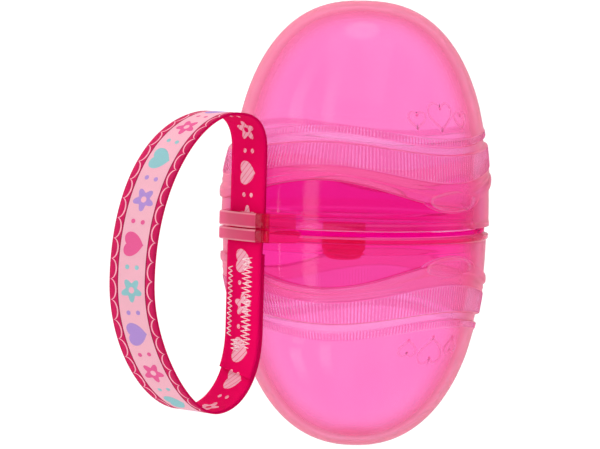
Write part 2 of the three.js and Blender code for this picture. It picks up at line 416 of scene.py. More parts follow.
class Graph:
    """The node graph of one material or of the world."""

    def __init__(self, owner: bpy.types.Material | bpy.types.World) -> None:
        """Clears the owner's nodes."""
        owner.use_nodes = True
        self.tree = owner.node_tree
        self.tree.nodes.clear()

    def add(self, kind: str, settings: dict | None = None, *values: Value, output: str | int = 0,
            **named: Value) -> Wire:
        """Adds any node.

        Args:
            kind: the node's type.
            settings: what is set on the node first.
            values: values or links of its first sockets, in order.
            output: the output that is returned.
            named: values or links of its sockets by name, with _ for a space.

        Returns:
            The output.
        """
        node = self.tree.nodes.new(kind)
        for key, value in (settings or {}).items():
            setattr(node, key, value)
        sockets = list(zip(node.inputs, values))
        sockets += [(node.inputs[key.replace("_", " ")], value) for key, value in named.items()]
        for socket, value in sockets:
            if isinstance(value, Wire):
                self.tree.links.new(value.socket, socket)
            else:
                socket.default_value = value
        return Wire(self, node.outputs[output]) if node.outputs else Wire(self, None)

    def mixed(self, share: Value, first: Value, second: Value) -> Wire:
        """A colour that goes from the first to the second as share goes from 0 to 1."""
        node = self.tree.nodes.new("ShaderNodeMix")
        node.data_type = "RGBA"
        for index, value in ((0, share), (6, first), (7, second)):
            if isinstance(value, Wire):
                self.tree.links.new(value.socket, node.inputs[index])
            else:
                node.inputs[index].default_value = (*value, 1.0) if isinstance(value, tuple) else value
        return Wire(self, node.outputs[2])

    def apart(self, vector: Wire) -> tuple[Wire, Wire, Wire]:
        """A vector's three parts."""
        node = self.tree.nodes.new("ShaderNodeSeparateXYZ")
        self.tree.links.new(vector.socket, node.inputs[0])
        return tuple(Wire(self, output) for output in node.outputs)

    def principled(self, **named: Value) -> Wire:
        """A Principled shader with values or links of its sockets by name."""
        return self.add("ShaderNodeBsdfPrincipled", None, **named)

    def noise(self, place: Wire, scale: float, detail: float = 2.0) -> Wire:
        """A noise from 0 to 1 at a place."""
        return self.add("ShaderNodeTexNoise", None, Vector=place, Scale=scale, Detail=detail)

    def object_place(self) -> Wire:
        """The place on the object, in metres."""
        return self.add("ShaderNodeTexCoord", output="Object")

    def bump(self, height: Wire, distance: float, strength: float = 1.0) -> Wire:
        """A normal that follows a height, whose 1 stands distance metres proud."""
        return self.add("ShaderNodeBump", None, Strength=strength, Distance=distance, Height=height)

    def surface(self, shader: Wire) -> None:
        """Sets the shader that the surface shows."""
        self.add("ShaderNodeOutputMaterial", None, shader)


Colour = tuple[float, float, float]
Span = tuple[float, float]
WHITE = (1.0, 1.0, 1.0)


@dataclass(frozen=True, kw_only=True)
class Finish:
    """A material of the case.

    Args:
        name: the material's name.
    """

    name: str

    def shader(self, graph: Graph) -> Wire:
        """The shader that the surface shows."""
        raise NotImplementedError

    def build(self) -> bpy.types.Material:
        """Makes the material."""
        material = bpy.data.materials.new(self.name)
        graph = Graph(material)
        graph.surface(self.shader(graph))
        return material


@dataclass(frozen=True, kw_only=True)
class ClearPlastic(Finish):
    """A polished see-through moulding.

    Args:
        tint: the colour that light has after one wall.
        deep: the tint in the faint flow streaks of the moulding.
        upper_wall: the tint of the plain wall above the parting plane, up to the grip band.
        lower_wall: the tint of the plain wall below it.
        roll: the tint of the grip band's roll.
        band: the tint of the rest of the grip band.
        crease_shade: the painted shade in the step at the roll's foot.
        dish: the painted shade in the hollow of the thumb dish.
        rib: the painted shade in the valleys between the ribs of its field and stripe.
        painted_highlight: the colour of the painted highlights along the rims and round the dish.
        roughness: how much one wall blurs what is behind it.
        clearness: the share of the light that goes through.
        gloss: how strong the polished skin is.
        gloss_roughness: how soft that skin's reflections are.
        grain: the height of the fine unevenness, in metres.
        grain_scale: how fine it is.
        grain_strength: how much of its slope shows.
        bend: the index of refraction.
        edge: the tint where the wall is seen along its length and its thickness gathers colour.
        edge_roughness: how much the wall blurs there.
        edge_clearness: the share of the light that goes through there.
        edge_share: how much of that tint the wall takes.
        edge_from: how far the wall has to turn off before that starts, and where it is whole.
        flow_scale: how close the flow streaks lie, along each axis.
        flow_blend: between which shares of the noise the streaks change colour.
        rough_spread: how much the roughness varies, as a share of it.
        blend: half the width of the soft edge between two tints.
        crease_shade_reach: how far the painted shade reaches below and above the roll's foot.
        upper_crease_shade: how strong the painted shade in the step at the roll's top is.
        dish_shade_blend: where the dish's painted shade fades, as shares of its size.
        dish_shade_share: how strong that painted shade is.
        lip_highlight_blend: where the painted highlight round the dish fades, to each side of its edge.
        lip_highlight_top: how far up the dish that painted highlight goes.
        painted_highlight_heights: the heights of the painted highlights along the rims, over the parting
            plane.
        painted_highlight_half: half the width of those painted highlights.
        painted_highlight_share: how strong they are.
    """

    tint: Colour
    deep: Colour
    upper_wall: Colour
    lower_wall: Colour
    roll: Colour
    band: Colour
    crease_shade: Colour
    dish: Colour
    rib: Colour
    painted_highlight: Colour
    roughness: float
    clearness: float
    gloss: float
    gloss_roughness: float = 0.1
    grain: float = 0.01 * MM
    grain_scale: float = 900.0
    grain_strength: float = 0.4
    bend: float = 1.1
    edge: Colour = (0.9, 0.2, 0.33)
    edge_roughness: float = 0.4
    edge_clearness: float = 0.5
    edge_share: float = 0.8
    edge_from: Span = (0.33, 0.85)
    flow_scale: tuple[float, float, float] = (60.0, 60.0, 9.0)
    flow_blend: Span = (0.35, 0.75)
    rough_spread: float = 0.5
    blend: float = 0.2 * MM
    crease_shade_reach: Span = (0.25 * MM, 0.15 * MM)
    upper_crease_shade: float = 0.5
    dish_shade_blend: Span = (0.85, 1.0)
    dish_shade_share: float = 0.8
    lip_highlight_blend: Span = (0.02, 0.12)
    lip_highlight_top: float = 0.3
    painted_highlight_heights: tuple[float, ...] = (2.3 * MM, -1.25 * MM)
    painted_highlight_half: float = 0.2 * MM
    painted_highlight_share: float = 0.7

    def zone(self, level: Wire, low: float, high: float) -> Wire:
        """1 between two levels, with soft edges."""
        soft = self.blend
        return (level - low).soft_step(-soft, soft) * (high - level).soft_step(-soft, soft)

    def zoned(self, graph: Graph, place: Wire, colour: Wire) -> Wire:
        """The tint with the plain walls and grip band, painted shade in its steps, between its ribs and in
        the dish, and painted highlights on the rims and round the dish.
        """
        band = GripBand()
        x, y, z = graph.apart(place)
        height = z - BODY.parting
        off = abs(height)
        turn = x.maths("ARCTAN2", y * -1.0)
        swing = (turn * float(band.waves)).cosine()
        low = off + swing * band.foot_wave
        upper = off + swing * band.roll_wave
        level = off + swing * ((band.roll_wave + band.field_wave) / 2)
        wall = graph.mixed(height > 0.0, self.lower_wall, self.upper_wall)
        colour = graph.mixed(self.zone(low, -MM, band.foot), colour, wall)
        colour = graph.mixed(self.zone(level, band.field_foot, band.top), colour, self.band)
        rolled = self.zone(low, band.foot, 2 * band.foot) * self.zone(upper, -MM, band.field_foot)
        colour = graph.mixed(rolled, colour, self.roll)
        # Painted shade in the steps at the roll's foot and at its top
        below, above = self.crease_shade_reach
        crease_shades = self.zone(low, band.foot - below, band.foot + above)
        crease_shades = crease_shades.either(self.zone(upper, band.field_foot - below, band.field_foot) * self.upper_crease_shade)
        colour = graph.mixed(crease_shades, colour, self.crease_shade)
        ribbed = self.zone(level, band.field_foot, band.groove_foot)
        ribbed = ribbed.either(self.zone(level, band.stripe_foot, band.top))
        # Painted shade in the valleys between the ribs
        valley_shade = (turn * float(band.ribs)).cosine() * -0.5 + 0.5
        colour = graph.mixed(ribbed * valley_shade, colour, self.rib)
        # Painted shade in the hollow of the thumb dish
        across = x / (Cap.dish_width / 2)
        rise = (off - Cap.dish_centre) / (Cap.dish_height / 2)
        oval = (across * across + rise * rise) ** 0.5
        front = y < 0.0
        dish_shade_mask = (1.0 - oval.soft_step(*self.dish_shade_blend)) * front * self.dish_shade_share
        colour = graph.mixed(dish_shade_mask, colour, self.dish)
        # Painted highlights round the dish's edge and along the two rims
        lip = (1.0 - abs(oval - 1.0).soft_step(*self.lip_highlight_blend)) * front * (rise < self.lip_highlight_top)
        lines = [self.zone(height, at - self.painted_highlight_half, at + self.painted_highlight_half) for at in self.painted_highlight_heights]
        lit = lines[0].either(lines[1]).either(lip) * self.painted_highlight_share
        return graph.mixed(lit, colour, self.painted_highlight)

    def shader(self, graph: Graph) -> Wire:
        """Clear plastic with its zones, which gathers colour where it is seen along its length."""
        place = graph.object_place()
        stretched = graph.add("ShaderNodeMapping", None, place, Scale=self.flow_scale)
        flow = graph.noise(stretched, 1.0, 3.0)
        colour = self.zoned(graph, place, graph.mixed(flow.soft_step(*self.flow_blend), self.tint, self.deep))
        clear = graph.principled(
            Base_Color=colour, Roughness=flow.around(self.roughness, self.rough_spread), IOR=self.bend,
            Transmission_Weight=self.clearness, Coat_Weight=self.gloss, Coat_Roughness=self.gloss_roughness,
            Normal=graph.bump(graph.noise(place, self.grain_scale), self.grain, self.grain_strength),
        )
        dense = graph.principled(
            Base_Color=(*self.edge, 1.0), Roughness=self.edge_roughness, IOR=self.bend,
            Transmission_Weight=self.edge_clearness,
        )
        facing = graph.add("ShaderNodeLayerWeight", None, Blend=0.5, output="Facing")
        share = facing.soft_step(*self.edge_from) * self.edge_share
        return graph.add("ShaderNodeMixShader", None, share, clear, dense)


@dataclass(frozen=True, kw_only=True)
class TintedPlastic(Finish):
    """A see-through moulding of one tint.

    Args:
        tint: the colour that light has after one wall.
        deep: the tint in its denser streaks.
        clearness: the share of the light that goes through.
        painted_glow: the strength of a painted glow in its deeper tint, which lifts it where little light
            reaches.
        gloss: how strong the polished skin is.
        gloss_roughness: how soft that skin's reflections are.
        roughness: how much one wall blurs what is behind it.
        rough_spread: how much the roughness varies, as a share of it.
        bend: the index of refraction.
        flow_scale: how close the streaks lie.
        flow_blend: between which shares of the noise the streaks change colour.
    """

    tint: Colour
    deep: Colour
    clearness: float
    painted_glow: float = 0.0
    gloss: float = 0.2
    gloss_roughness: float = 0.15
    roughness: float = 0.12
    rough_spread: float = 0.4
    bend: float = 1.1
    flow_scale: float = 150.0
    flow_blend: Span = (0.35, 0.7)

    def shader(self, graph: Graph) -> Wire:
        """Clear plastic with faint streaks."""
        flow = graph.noise(graph.object_place(), self.flow_scale)
        return graph.principled(
            Base_Color=graph.mixed(flow.soft_step(*self.flow_blend), self.tint, self.deep),
            Roughness=flow.around(self.roughness, self.rough_spread), IOR=self.bend,
            Transmission_Weight=self.clearness, Coat_Weight=self.gloss, Coat_Roughness=self.gloss_roughness,
            # A painted glow in the deeper tint, for parts that little light reaches
            Emission_Color=(*self.deep, 1.0), Emission_Strength=self.painted_glow,
        )


@dataclass(frozen=True, kw_only=True)
class BrushedPlastic(Finish):
    """A see-through moulding with a fine satin texture along its length.

    Args:
        tint: its colour towards the front.
        pale: its colour towards the back, painted paler where more light comes through.
        painted_highlight: the colour of the painted highlights along its edges.
        painted_highlight_share: how strong they are.
        roughness: how matt it is.
        clearness: the share of the light that goes through.
        bend: the index of refraction.
        grain_scale: how close the texture's lines lie, along each axis.
        grain: their height, in metres.
        grain_strength: how much of their slope shows.
        grain_share: how much they vary the colour and the roughness.
        pale_run: between which places along Y the colour changes.
        pale_share: how much of the change that gives.
        pale_shift: what is added, so that the texture swings to both sides.
        edges: the heights over the parting plane of the edges that carry the painted highlights.
        edge_blend: how far from an edge its painted highlight starts to fade, and where it ends.
    """

    tint: Colour
    pale: Colour
    painted_highlight: Colour
    painted_highlight_share: float = 0.7
    roughness: float
    clearness: float
    bend: float = 1.3
    grain_scale: tuple[float, float, float] = (700.0, 700.0, 5000.0)
    grain: float = 0.01 * MM
    grain_strength: float = 0.4
    grain_share: float = 0.2
    pale_run: Span = (-6 * MM, 8 * MM)
    pale_share: float = 0.9
    pale_shift: float = -0.05
    edges: tuple[float, ...] = (4.2 * MM, 1.0 * MM, 0.3 * MM, -2.4 * MM)
    edge_blend: Span = (0.1 * MM, 0.35 * MM)

    def shader(self, graph: Graph) -> Wire:
        """Satin plastic, painted paler towards the back where more light comes through, with painted
        highlights along its edges.
        """
        place = graph.object_place()
        lines = graph.noise(graph.add("ShaderNodeMapping", None, place, Scale=self.grain_scale), 1.0, 3.0)
        _, along, height = graph.apart(place)
        # Painted paler towards the back, where more light comes through
        share = along.soft_step(*self.pale_run) * self.pale_share + lines * self.grain_share + self.pale_shift
        # Painted highlights along the lug's edges
        edge_highlight = share * 0.0
        for at in self.edges:
            edge_highlight = edge_highlight.either(1.0 - abs(height - (BODY.parting + at)).soft_step(*self.edge_blend))
        body = graph.mixed(share, self.tint, self.pale)
        return graph.principled(
            Base_Color=graph.mixed(edge_highlight * self.painted_highlight_share, body, self.painted_highlight),
            Roughness=lines * self.grain_share + (self.roughness - self.grain_share / 2), IOR=self.bend,
            Transmission_Weight=self.clearness,
            Normal=graph.bump(lines, self.grain, self.grain_strength),
        )


@dataclass(frozen=True)
class Weave:
    """How the ribbon's threads lie.

    Args:
        warp: the spacing of the threads along the ribbon.
        weft: the spacing of the threads across it.
        relief: how far a thread stands out.
    """

    warp: float = 0.24 * MM
    weft: float = 0.3 * MM
    relief: float = 0.04 * MM

    def height(self, along: Wire, across: Wire) -> Wire:
        """The height of the threads, from 0 to 1, at a place along and across the ribbon in metres."""
        warp = abs((across * (math.pi / self.warp)).sine())
        weft = abs((along * (math.pi / self.weft) + across * (math.pi / self.warp)).sine())
        return warp * 0.5 + weft * 0.5


@dataclass(frozen=True)
class RibbonLayout:
    """Where the woven pattern lies: motifs in the middle and scalloped borders.

    Args:
        width: the ribbon's width.
        pitch: the distance from one motif to the next.
        motif: half the size of a motif.
        heart_flat: how much flatter than its formula a heart is.
        heart_shift: how far a heart lies off the middle, as a share of half its size.
        heart_size: the square of the heart's middle radius, as a share of half its size.
        petals: how many petals a daisy has.
        petal_reach: the middle radius of its petals, as a share of half its size.
        petal_depth: how far they swing from that.
        eye: the radius of its eye.
        dot: the radius of a dot.
        dot_offset: how far a dot lies off the middle.
        border: the width of a border.
        scallop: the length of a scallop.
        scallop_edge: how far from the ribbon's edge a scallop starts.
        scallop_margin: how much less than the border an arch takes.
        line: the width of the scalloped line.
    """

    width: float = 12 * MM
    pitch: float = 10.6 * MM
    motif: float = 3.1 * MM
    heart_flat: float = 1.05
    heart_shift: float = 0.08
    heart_size: float = 0.62
    petals: float = 5.0
    petal_reach: float = 0.72
    petal_depth: float = 0.2
    eye: float = 0.24
    dot: float = 0.55 * MM
    dot_offset: float = 1.3 * MM
    border: float = 2.25 * MM
    scallop: float = 4.6 * MM
    scallop_edge: float = 0.25 * MM
    scallop_margin: float = 0.75 * MM
    line: float = 0.34 * MM

    def places(self, graph: Graph) -> tuple[Wire, Wire]:
        """The place along the ribbon and the place across it from its middle, in metres."""
        uv = graph.add("ShaderNodeUVMap", {"uv_map": "ribbon"})
        along, across, _ = graph.apart(uv)
        return along, across

    def heart(self, along: Wire, across: Wire) -> Wire:
        """1 inside a heart in each cell of the row."""
        x = ((along % self.pitch) - self.pitch / 2) / self.motif
        y = across / self.motif * self.heart_flat + self.heart_shift
        bowl = x * x + y * y - self.heart_size
        return (bowl ** 3.0 - x * x * y * y * y) < 0.0

    def daisy(self, along: Wire, across: Wire) -> Wire:
        """1 inside the petals of a flower in each cell of the row, and not in its eye."""
        x = ((along % self.pitch) - self.pitch / 2) / self.motif
        y = across / self.motif
        radius = (x * x + y * y) ** 0.5
        angle = y.maths("ARCTAN2", x)
        petals = radius < ((angle * self.petals).cosine() * self.petal_depth + self.petal_reach)
        return petals * (radius > self.eye)

    def dots(self, along: Wire, across: Wire) -> Wire:
        """1 inside a pair of dots half way between two motifs."""
        x = ((along + self.pitch / 2) % self.pitch - self.pitch / 2) / self.dot
        y = (abs(across) - self.dot_offset) / self.dot
        return (x * x + y * y) < 1.0

    def scallops(self, along: Wire, across: Wire) -> Wire:
        """1 on the scalloped line of each border, whose arches open towards the edge."""
        share = (along % self.scallop) / self.scallop * 2.0 - 1.0
        arch = (1.0 - share * share) ** 0.5
        line = self.width / 2 - self.scallop_edge - arch * (self.border - self.scallop_margin)
        return abs(abs(across) - line) < self.line / 2


@dataclass(frozen=True, kw_only=True)
class WovenFace(Finish):
    """One face of the ribbon: motifs, with the threads over them.

    Args:
        ground: the ground's colour.
        hollow: the shade between two threads.
        thread_blend: between which heights of the threads that shade fades.
        roughness: how matt it is.
        specular: how strong its reflections are.
        motif_rise: how far the motifs stand out, as a share of a thread.
        layout: where the pattern lies.
        weave: how its threads lie.
    """

    ground: Colour
    hollow: Colour
    thread_blend: Span = (0.0, 0.8)
    roughness: float = 0.7
    specular: float
    motif_rise: float
    layout: RibbonLayout = RibbonLayout()
    weave: Weave = Weave()

    def coloured(self, graph: Graph, along: Wire, across: Wire, motif: Wire, dots: Wire) -> Wire:
        """The pattern's colours.

        Args:
            graph: the material's graph.
            along: the place along the ribbon, in metres.
            across: the place across it, in metres.
            motif: 1 on a heart, a daisy or a dot.
            dots: 1 on a dot.

        Returns:
            The colour.
        """
        raise NotImplementedError

    def shader(self, graph: Graph) -> Wire:
        """Woven cloth with the face's pattern."""
        along, across = self.layout.places(graph)
        odd = (along / self.layout.pitch).floor() % 2.0
        hearts = self.layout.heart(along, across) * (1.0 - odd)
        daisies = self.layout.daisy(along, across) * odd
        dots = self.layout.dots(along, across)
        motif = hearts.either(daisies).either(dots)
        colour = self.coloured(graph, along, across, motif, dots)
        threads = self.weave.height(along, across)
        shade = graph.mixed(threads.soft_step(*self.thread_blend), self.hollow, WHITE)
        woven = graph.add("ShaderNodeVectorMath", {"operation": "MULTIPLY"}, colour, shade)
        return graph.principled(
            Base_Color=woven, Roughness=self.roughness, Specular_IOR_Level=self.specular,
            Normal=graph.bump(threads + motif * self.motif_rise, self.weave.relief),
        )


@dataclass(frozen=True, kw_only=True)
class RibbonFace(WovenFace):
    """The ribbon's outer face: motifs on a pale middle, between borders.

    Args:
        border: the borders' colour.
        line: the scalloped line's colour.
        motifs: the colours that the motifs take in turn.
        seam_half: half the width of the dark line along each border.
        seam_shade: how much of the border's colour that line has.
    """

    border: Colour
    line: Colour
    motifs: tuple[Colour, Colour, Colour]
    seam_half: float = 0.14 * MM
    seam_shade: float = 0.55

    def coloured(self, graph: Graph, along: Wire, across: Wire, motif: Wire, dots: Wire) -> Wire:
        """The motifs in three colours in turn, and the borders."""
        cell = along / self.layout.pitch
        kind = (cell.floor() * (1.0 - dots) + (cell + 0.5).floor() * dots) % 3.0
        first, second, third = self.motifs
        ink = graph.mixed(kind > 1.5, graph.mixed(kind > 0.5, first, second), third)
        colour = graph.mixed(motif, self.ground, ink)
        edge = self.layout.width / 2 - self.layout.border
        colour = graph.mixed(abs(across) > edge, colour, self.border)
        deep = tuple(part * self.seam_shade for part in self.border)
        colour = graph.mixed(abs(abs(across) - edge) < self.seam_half, colour, deep)
        return graph.mixed(self.layout.scallops(along, across), colour, self.line)


@dataclass(frozen=True, kw_only=True)
class RibbonBack(WovenFace):
    """The ribbon's inner face, where the motifs show in one pale colour on the border's colour.

    Args:
        ink: the motifs' colour.
        float_pitch: the distance between the slanting threads that cross a motif.
        float_from: how thin they are: the height of a sine over which one shows.
        float_share: how much of the ground they show.
    """

    ink: Colour
    float_pitch: float = 0.8 * MM
    float_from: float = 0.82
    float_share: float = 0.6

    def coloured(self, graph: Graph, along: Wire, across: Wire, motif: Wire, dots: Wire) -> Wire:
        """The motifs in one colour, crossed by slanting threads of the ground."""
        floats = ((along + across) * (math.pi / self.float_pitch)).sine() > self.float_from
        return graph.mixed(motif * (1.0 - floats * self.float_share), self.ground, self.ink)


@dataclass(frozen=True, kw_only=True)
class Thread(Finish):
    """Sewing thread.

    Args:
        colour: its colour.
        shade: its colour between the plies.
        ply_scale: how fine the plies are.
        ply_blend: between which shares of the noise the colours change.
        roughness: how matt it is.
        sheen: how much it shines along its fibres.
    """

    colour: Colour
    shade: Colour
    ply_scale: float = 2500.0
    ply_blend: Span = (0.4, 0.6)
    roughness: float = 0.55
    sheen: float = 0.2

    def shader(self, graph: Graph) -> Wire:
        """Thread with fine plies."""
        noise = graph.noise(graph.object_place(), self.ply_scale)
        return graph.principled(
            Base_Color=graph.mixed(noise.soft_step(*self.ply_blend), self.shade, self.colour),
            Roughness=self.roughness, Sheen_Weight=self.sheen,
        )


# Caps


@dataclass(frozen=True)
class GripBand:
    """The waved band round a cap: a roll, a ribbed field, a groove and a ribbed stripe.

    Heights are those of the wave's middle. The foot swings furthest and the top least.
    """

    # Heights of the stretches, from the foot up
    foot: float = 9.9 * MM
    roll_height: float = 4.5 * MM
    field_height: float = 6 * MM
    groove_height: float = 1.95 * MM
    stripe_height: float = 1.95 * MM
    # How far the foot, the roll's top and the lines above swing up and down
    foot_wave: float = 3.1 * MM
    roll_wave: float = 2.1 * MM
    field_wave: float = 1.4 * MM
    waves: int = 3
    # How far each stretch stands off the cap's outline, and the roll's strip, hollow and raised line
    roll_proud: float = 0.5 * MM
    roll_crown: float = 0.12 * MM
    trough_proud: float = 0.12 * MM
    field_proud: float = 0.26 * MM
    groove_depth: float = 0.6 * MM
    neck: float = 0.1 * MM
    strip_height: float = 1.9 * MM
    strip_back: float = 0.75 * MM
    line_height: float = 3.2 * MM
    line_proud: float = 0.1 * MM
    step: float = 0.2 * MM
    # Ribs of the field and the stripe
    ribs: int = 240
    rib_depth: float = 0.22 * MM
    # How far the roll's foot dips round the thumb dish, and how far to each side
    lip_dip: float = 1.5 * MM
    lip_reach: float = 9.4 * MM

    @property
    def field_foot(self) -> float:
        """Where the ribbed field starts."""
        return self.foot + self.roll_height

    @property
    def groove_foot(self) -> float:
        """Where the groove starts."""
        return self.field_foot + self.field_height

    @property
    def stripe_foot(self) -> float:
        """Where the stripe starts."""
        return self.groove_foot + self.groove_height

    @property
    def top(self) -> float:
        """Where the band ends."""
        return self.stripe_foot + self.stripe_height

    def wave_at(self, height: float, start: float, end: float) -> float:
        """How far the band swings at a height, between a still rim and a still dome."""
        stops = (
            (start, 0.0), (self.foot - self.step, self.foot_wave), (self.foot + self.step, self.foot_wave),
            (self.field_foot, self.roll_wave), (self.groove_foot, self.field_wave),
            (self.top, self.field_wave), (end, 0.0),
        )
        if height <= start or height >= end:
            return 0.0
        for (low, first), (high, second) in zip(stops, stops[1:]):
            if height <= high:
                return between(first, second, (height - low) / (high - low))
        return 0.0

    def rise(self, angle: float, wave: float) -> float:
        """Rise of a line of the band at an angle from the front, where it is lowest."""
        return -wave * math.cos(self.waves * angle)

    def proud(self, height: float) -> float:
        """How far the band stands off the cap's outline at a height."""
        def step(at: float, run: float = self.step) -> float:
            return eased((height - at) / run)

        crown = max(0.0, 1 - ((height - self.foot) / (self.strip_height / 2) - 1) ** 2)
        back = self.foot + self.strip_height - self.strip_back / 2
        line = math.exp(-(((height - self.foot - self.line_height) / self.step) ** 2))
        return (
            -self.neck
            + (self.neck + self.roll_proud) * step(self.foot - self.step)
            + self.roll_crown * crown
            - (self.roll_proud - self.trough_proud) * step(back, self.strip_back)
            + self.line_proud * line
            + (self.field_proud - self.trough_proud) * step(self.field_foot - self.step / 2)
            - (self.field_proud + self.groove_depth) * step(self.groove_foot - self.step, 2 * self.step)
            + self.groove_depth * step(self.stripe_foot - self.step, 2 * self.step)
            - self.neck * step(self.top - self.step, 2 * self.step)
            + self.neck * step(self.top + self.stripe_height, 3 * self.stripe_height)
        )

    def ribbed(self, height: float) -> float:
        """1 where the ribs are whole and 0 off the field and the stripe."""
        def window(low: float, high: float) -> float:
            return eased((height - low) / self.step) * eased((high - height) / self.step)

        return window(self.field_foot + self.step, self.groove_foot - self.step) + window(
            self.stripe_foot + self.step, self.top - self.step
        )


@dataclass(frozen=True)
class HeartRelief:
    """Three hearts in fine raised line on a cap's front: a larger one between two smaller ones.

    Args:
        height: how far over the parting plane its middle lies.
        angle: where its middle lies, from the front.
        hearts: the place across, the place up and the width of each heart.
        line: half the width of the raised line.
        rise: half its depth.
        sunk: how far the line's middle lies under the surface.
        tip_full: how thick the line is at a heart's two points, as a share of the whole.
        tip_run: how quickly it gets whole beside them.
        half_turn: half the angle that the relief may take.
        half_height: half the height that it may take.
        points: how many points a heart's line has.
        sides: how many sides the line has.
    """

    height: float = 28 * MM
    angle: float = math.radians(-5.3)
    hearts: tuple[tuple[float, float, float], ...] = (
        (0.0, 0.0, 7.6 * MM), (-7.0 * MM, -0.8 * MM, 4.6 * MM), (7.0 * MM, -0.8 * MM, 4.6 * MM),
    )
    line: float = 0.36 * MM
    rise: float = 0.24 * MM
    sunk: float = 0.06 * MM
    tip_full: float = 0.35
    tip_run: float = 3.0
    half_turn: float = math.radians(20)
    half_height: float = 6 * MM
    points: int = 72
    sides: int = 12

    def outline_of(self, across: float, up: float, width: float) -> list[tuple[float, float]]:
        """Points round one heart, as places across and up from the relief's middle.

        The formula is the common one for a heart, 32 units wide, whose middle lies at -2.5.
        """
        points = []
        for turn in spaced(0.0, TURN, self.points):
            x = 16 * math.sin(turn) ** 3
            y = 13 * math.cos(turn) - 5 * math.cos(2 * turn) - 2 * math.cos(3 * turn) - math.cos(4 * turn)
            points.append((across + x * width / 32, up + (y + 2.5) * width / 32))
        return points

    def build(self, side: Side) -> bpy.types.Object:
        """Makes the raised lines of a cap, half sunk in its wall."""
        outline = BODY.outline(side)
        bm = bmesh.new()
        for heart in self.hearts:
            spine = []
            full = [
                min(1.0, self.tip_full + self.tip_run * abs(math.sin(turn)))
                for turn in spaced(0.0, TURN, self.points)
            ]
            for across, up in self.outline_of(*heart):
                height = self.height + up
                angle = self.angle + across / outline.radius_at(self.height)
                radius = outline.radius_at(height) + BODY.swell(angle, height) - self.sunk
                point = Vector()
                placed(point, angle, radius, side.value * height)
                spine.append(point)
            rings = []
            for i, point in enumerate(spine):
                along = (spine[(i + 1) % len(spine)] - spine[i - 1]).normalized()
                out = Vector((point.x, point.y, 0)).normalized()
                beside = along.cross(out).normalized()
                out = beside.cross(along)
                rings.append([
                    bm.verts.new(point + full[i] * (
                        out * math.cos(turn) * self.rise + beside * math.sin(turn) * self.line
                    ))
                    for turn in spaced(0.0, TURN, self.sides)
                ])
            for ring, after in zip(rings, rings[1:] + rings[:1]):
                for i in range(self.sides):
                    bm.faces.new((ring[i - 1], ring[i], after[i], after[i - 1]))
        return finished(bm, "relief", SMOOTH_ALL)


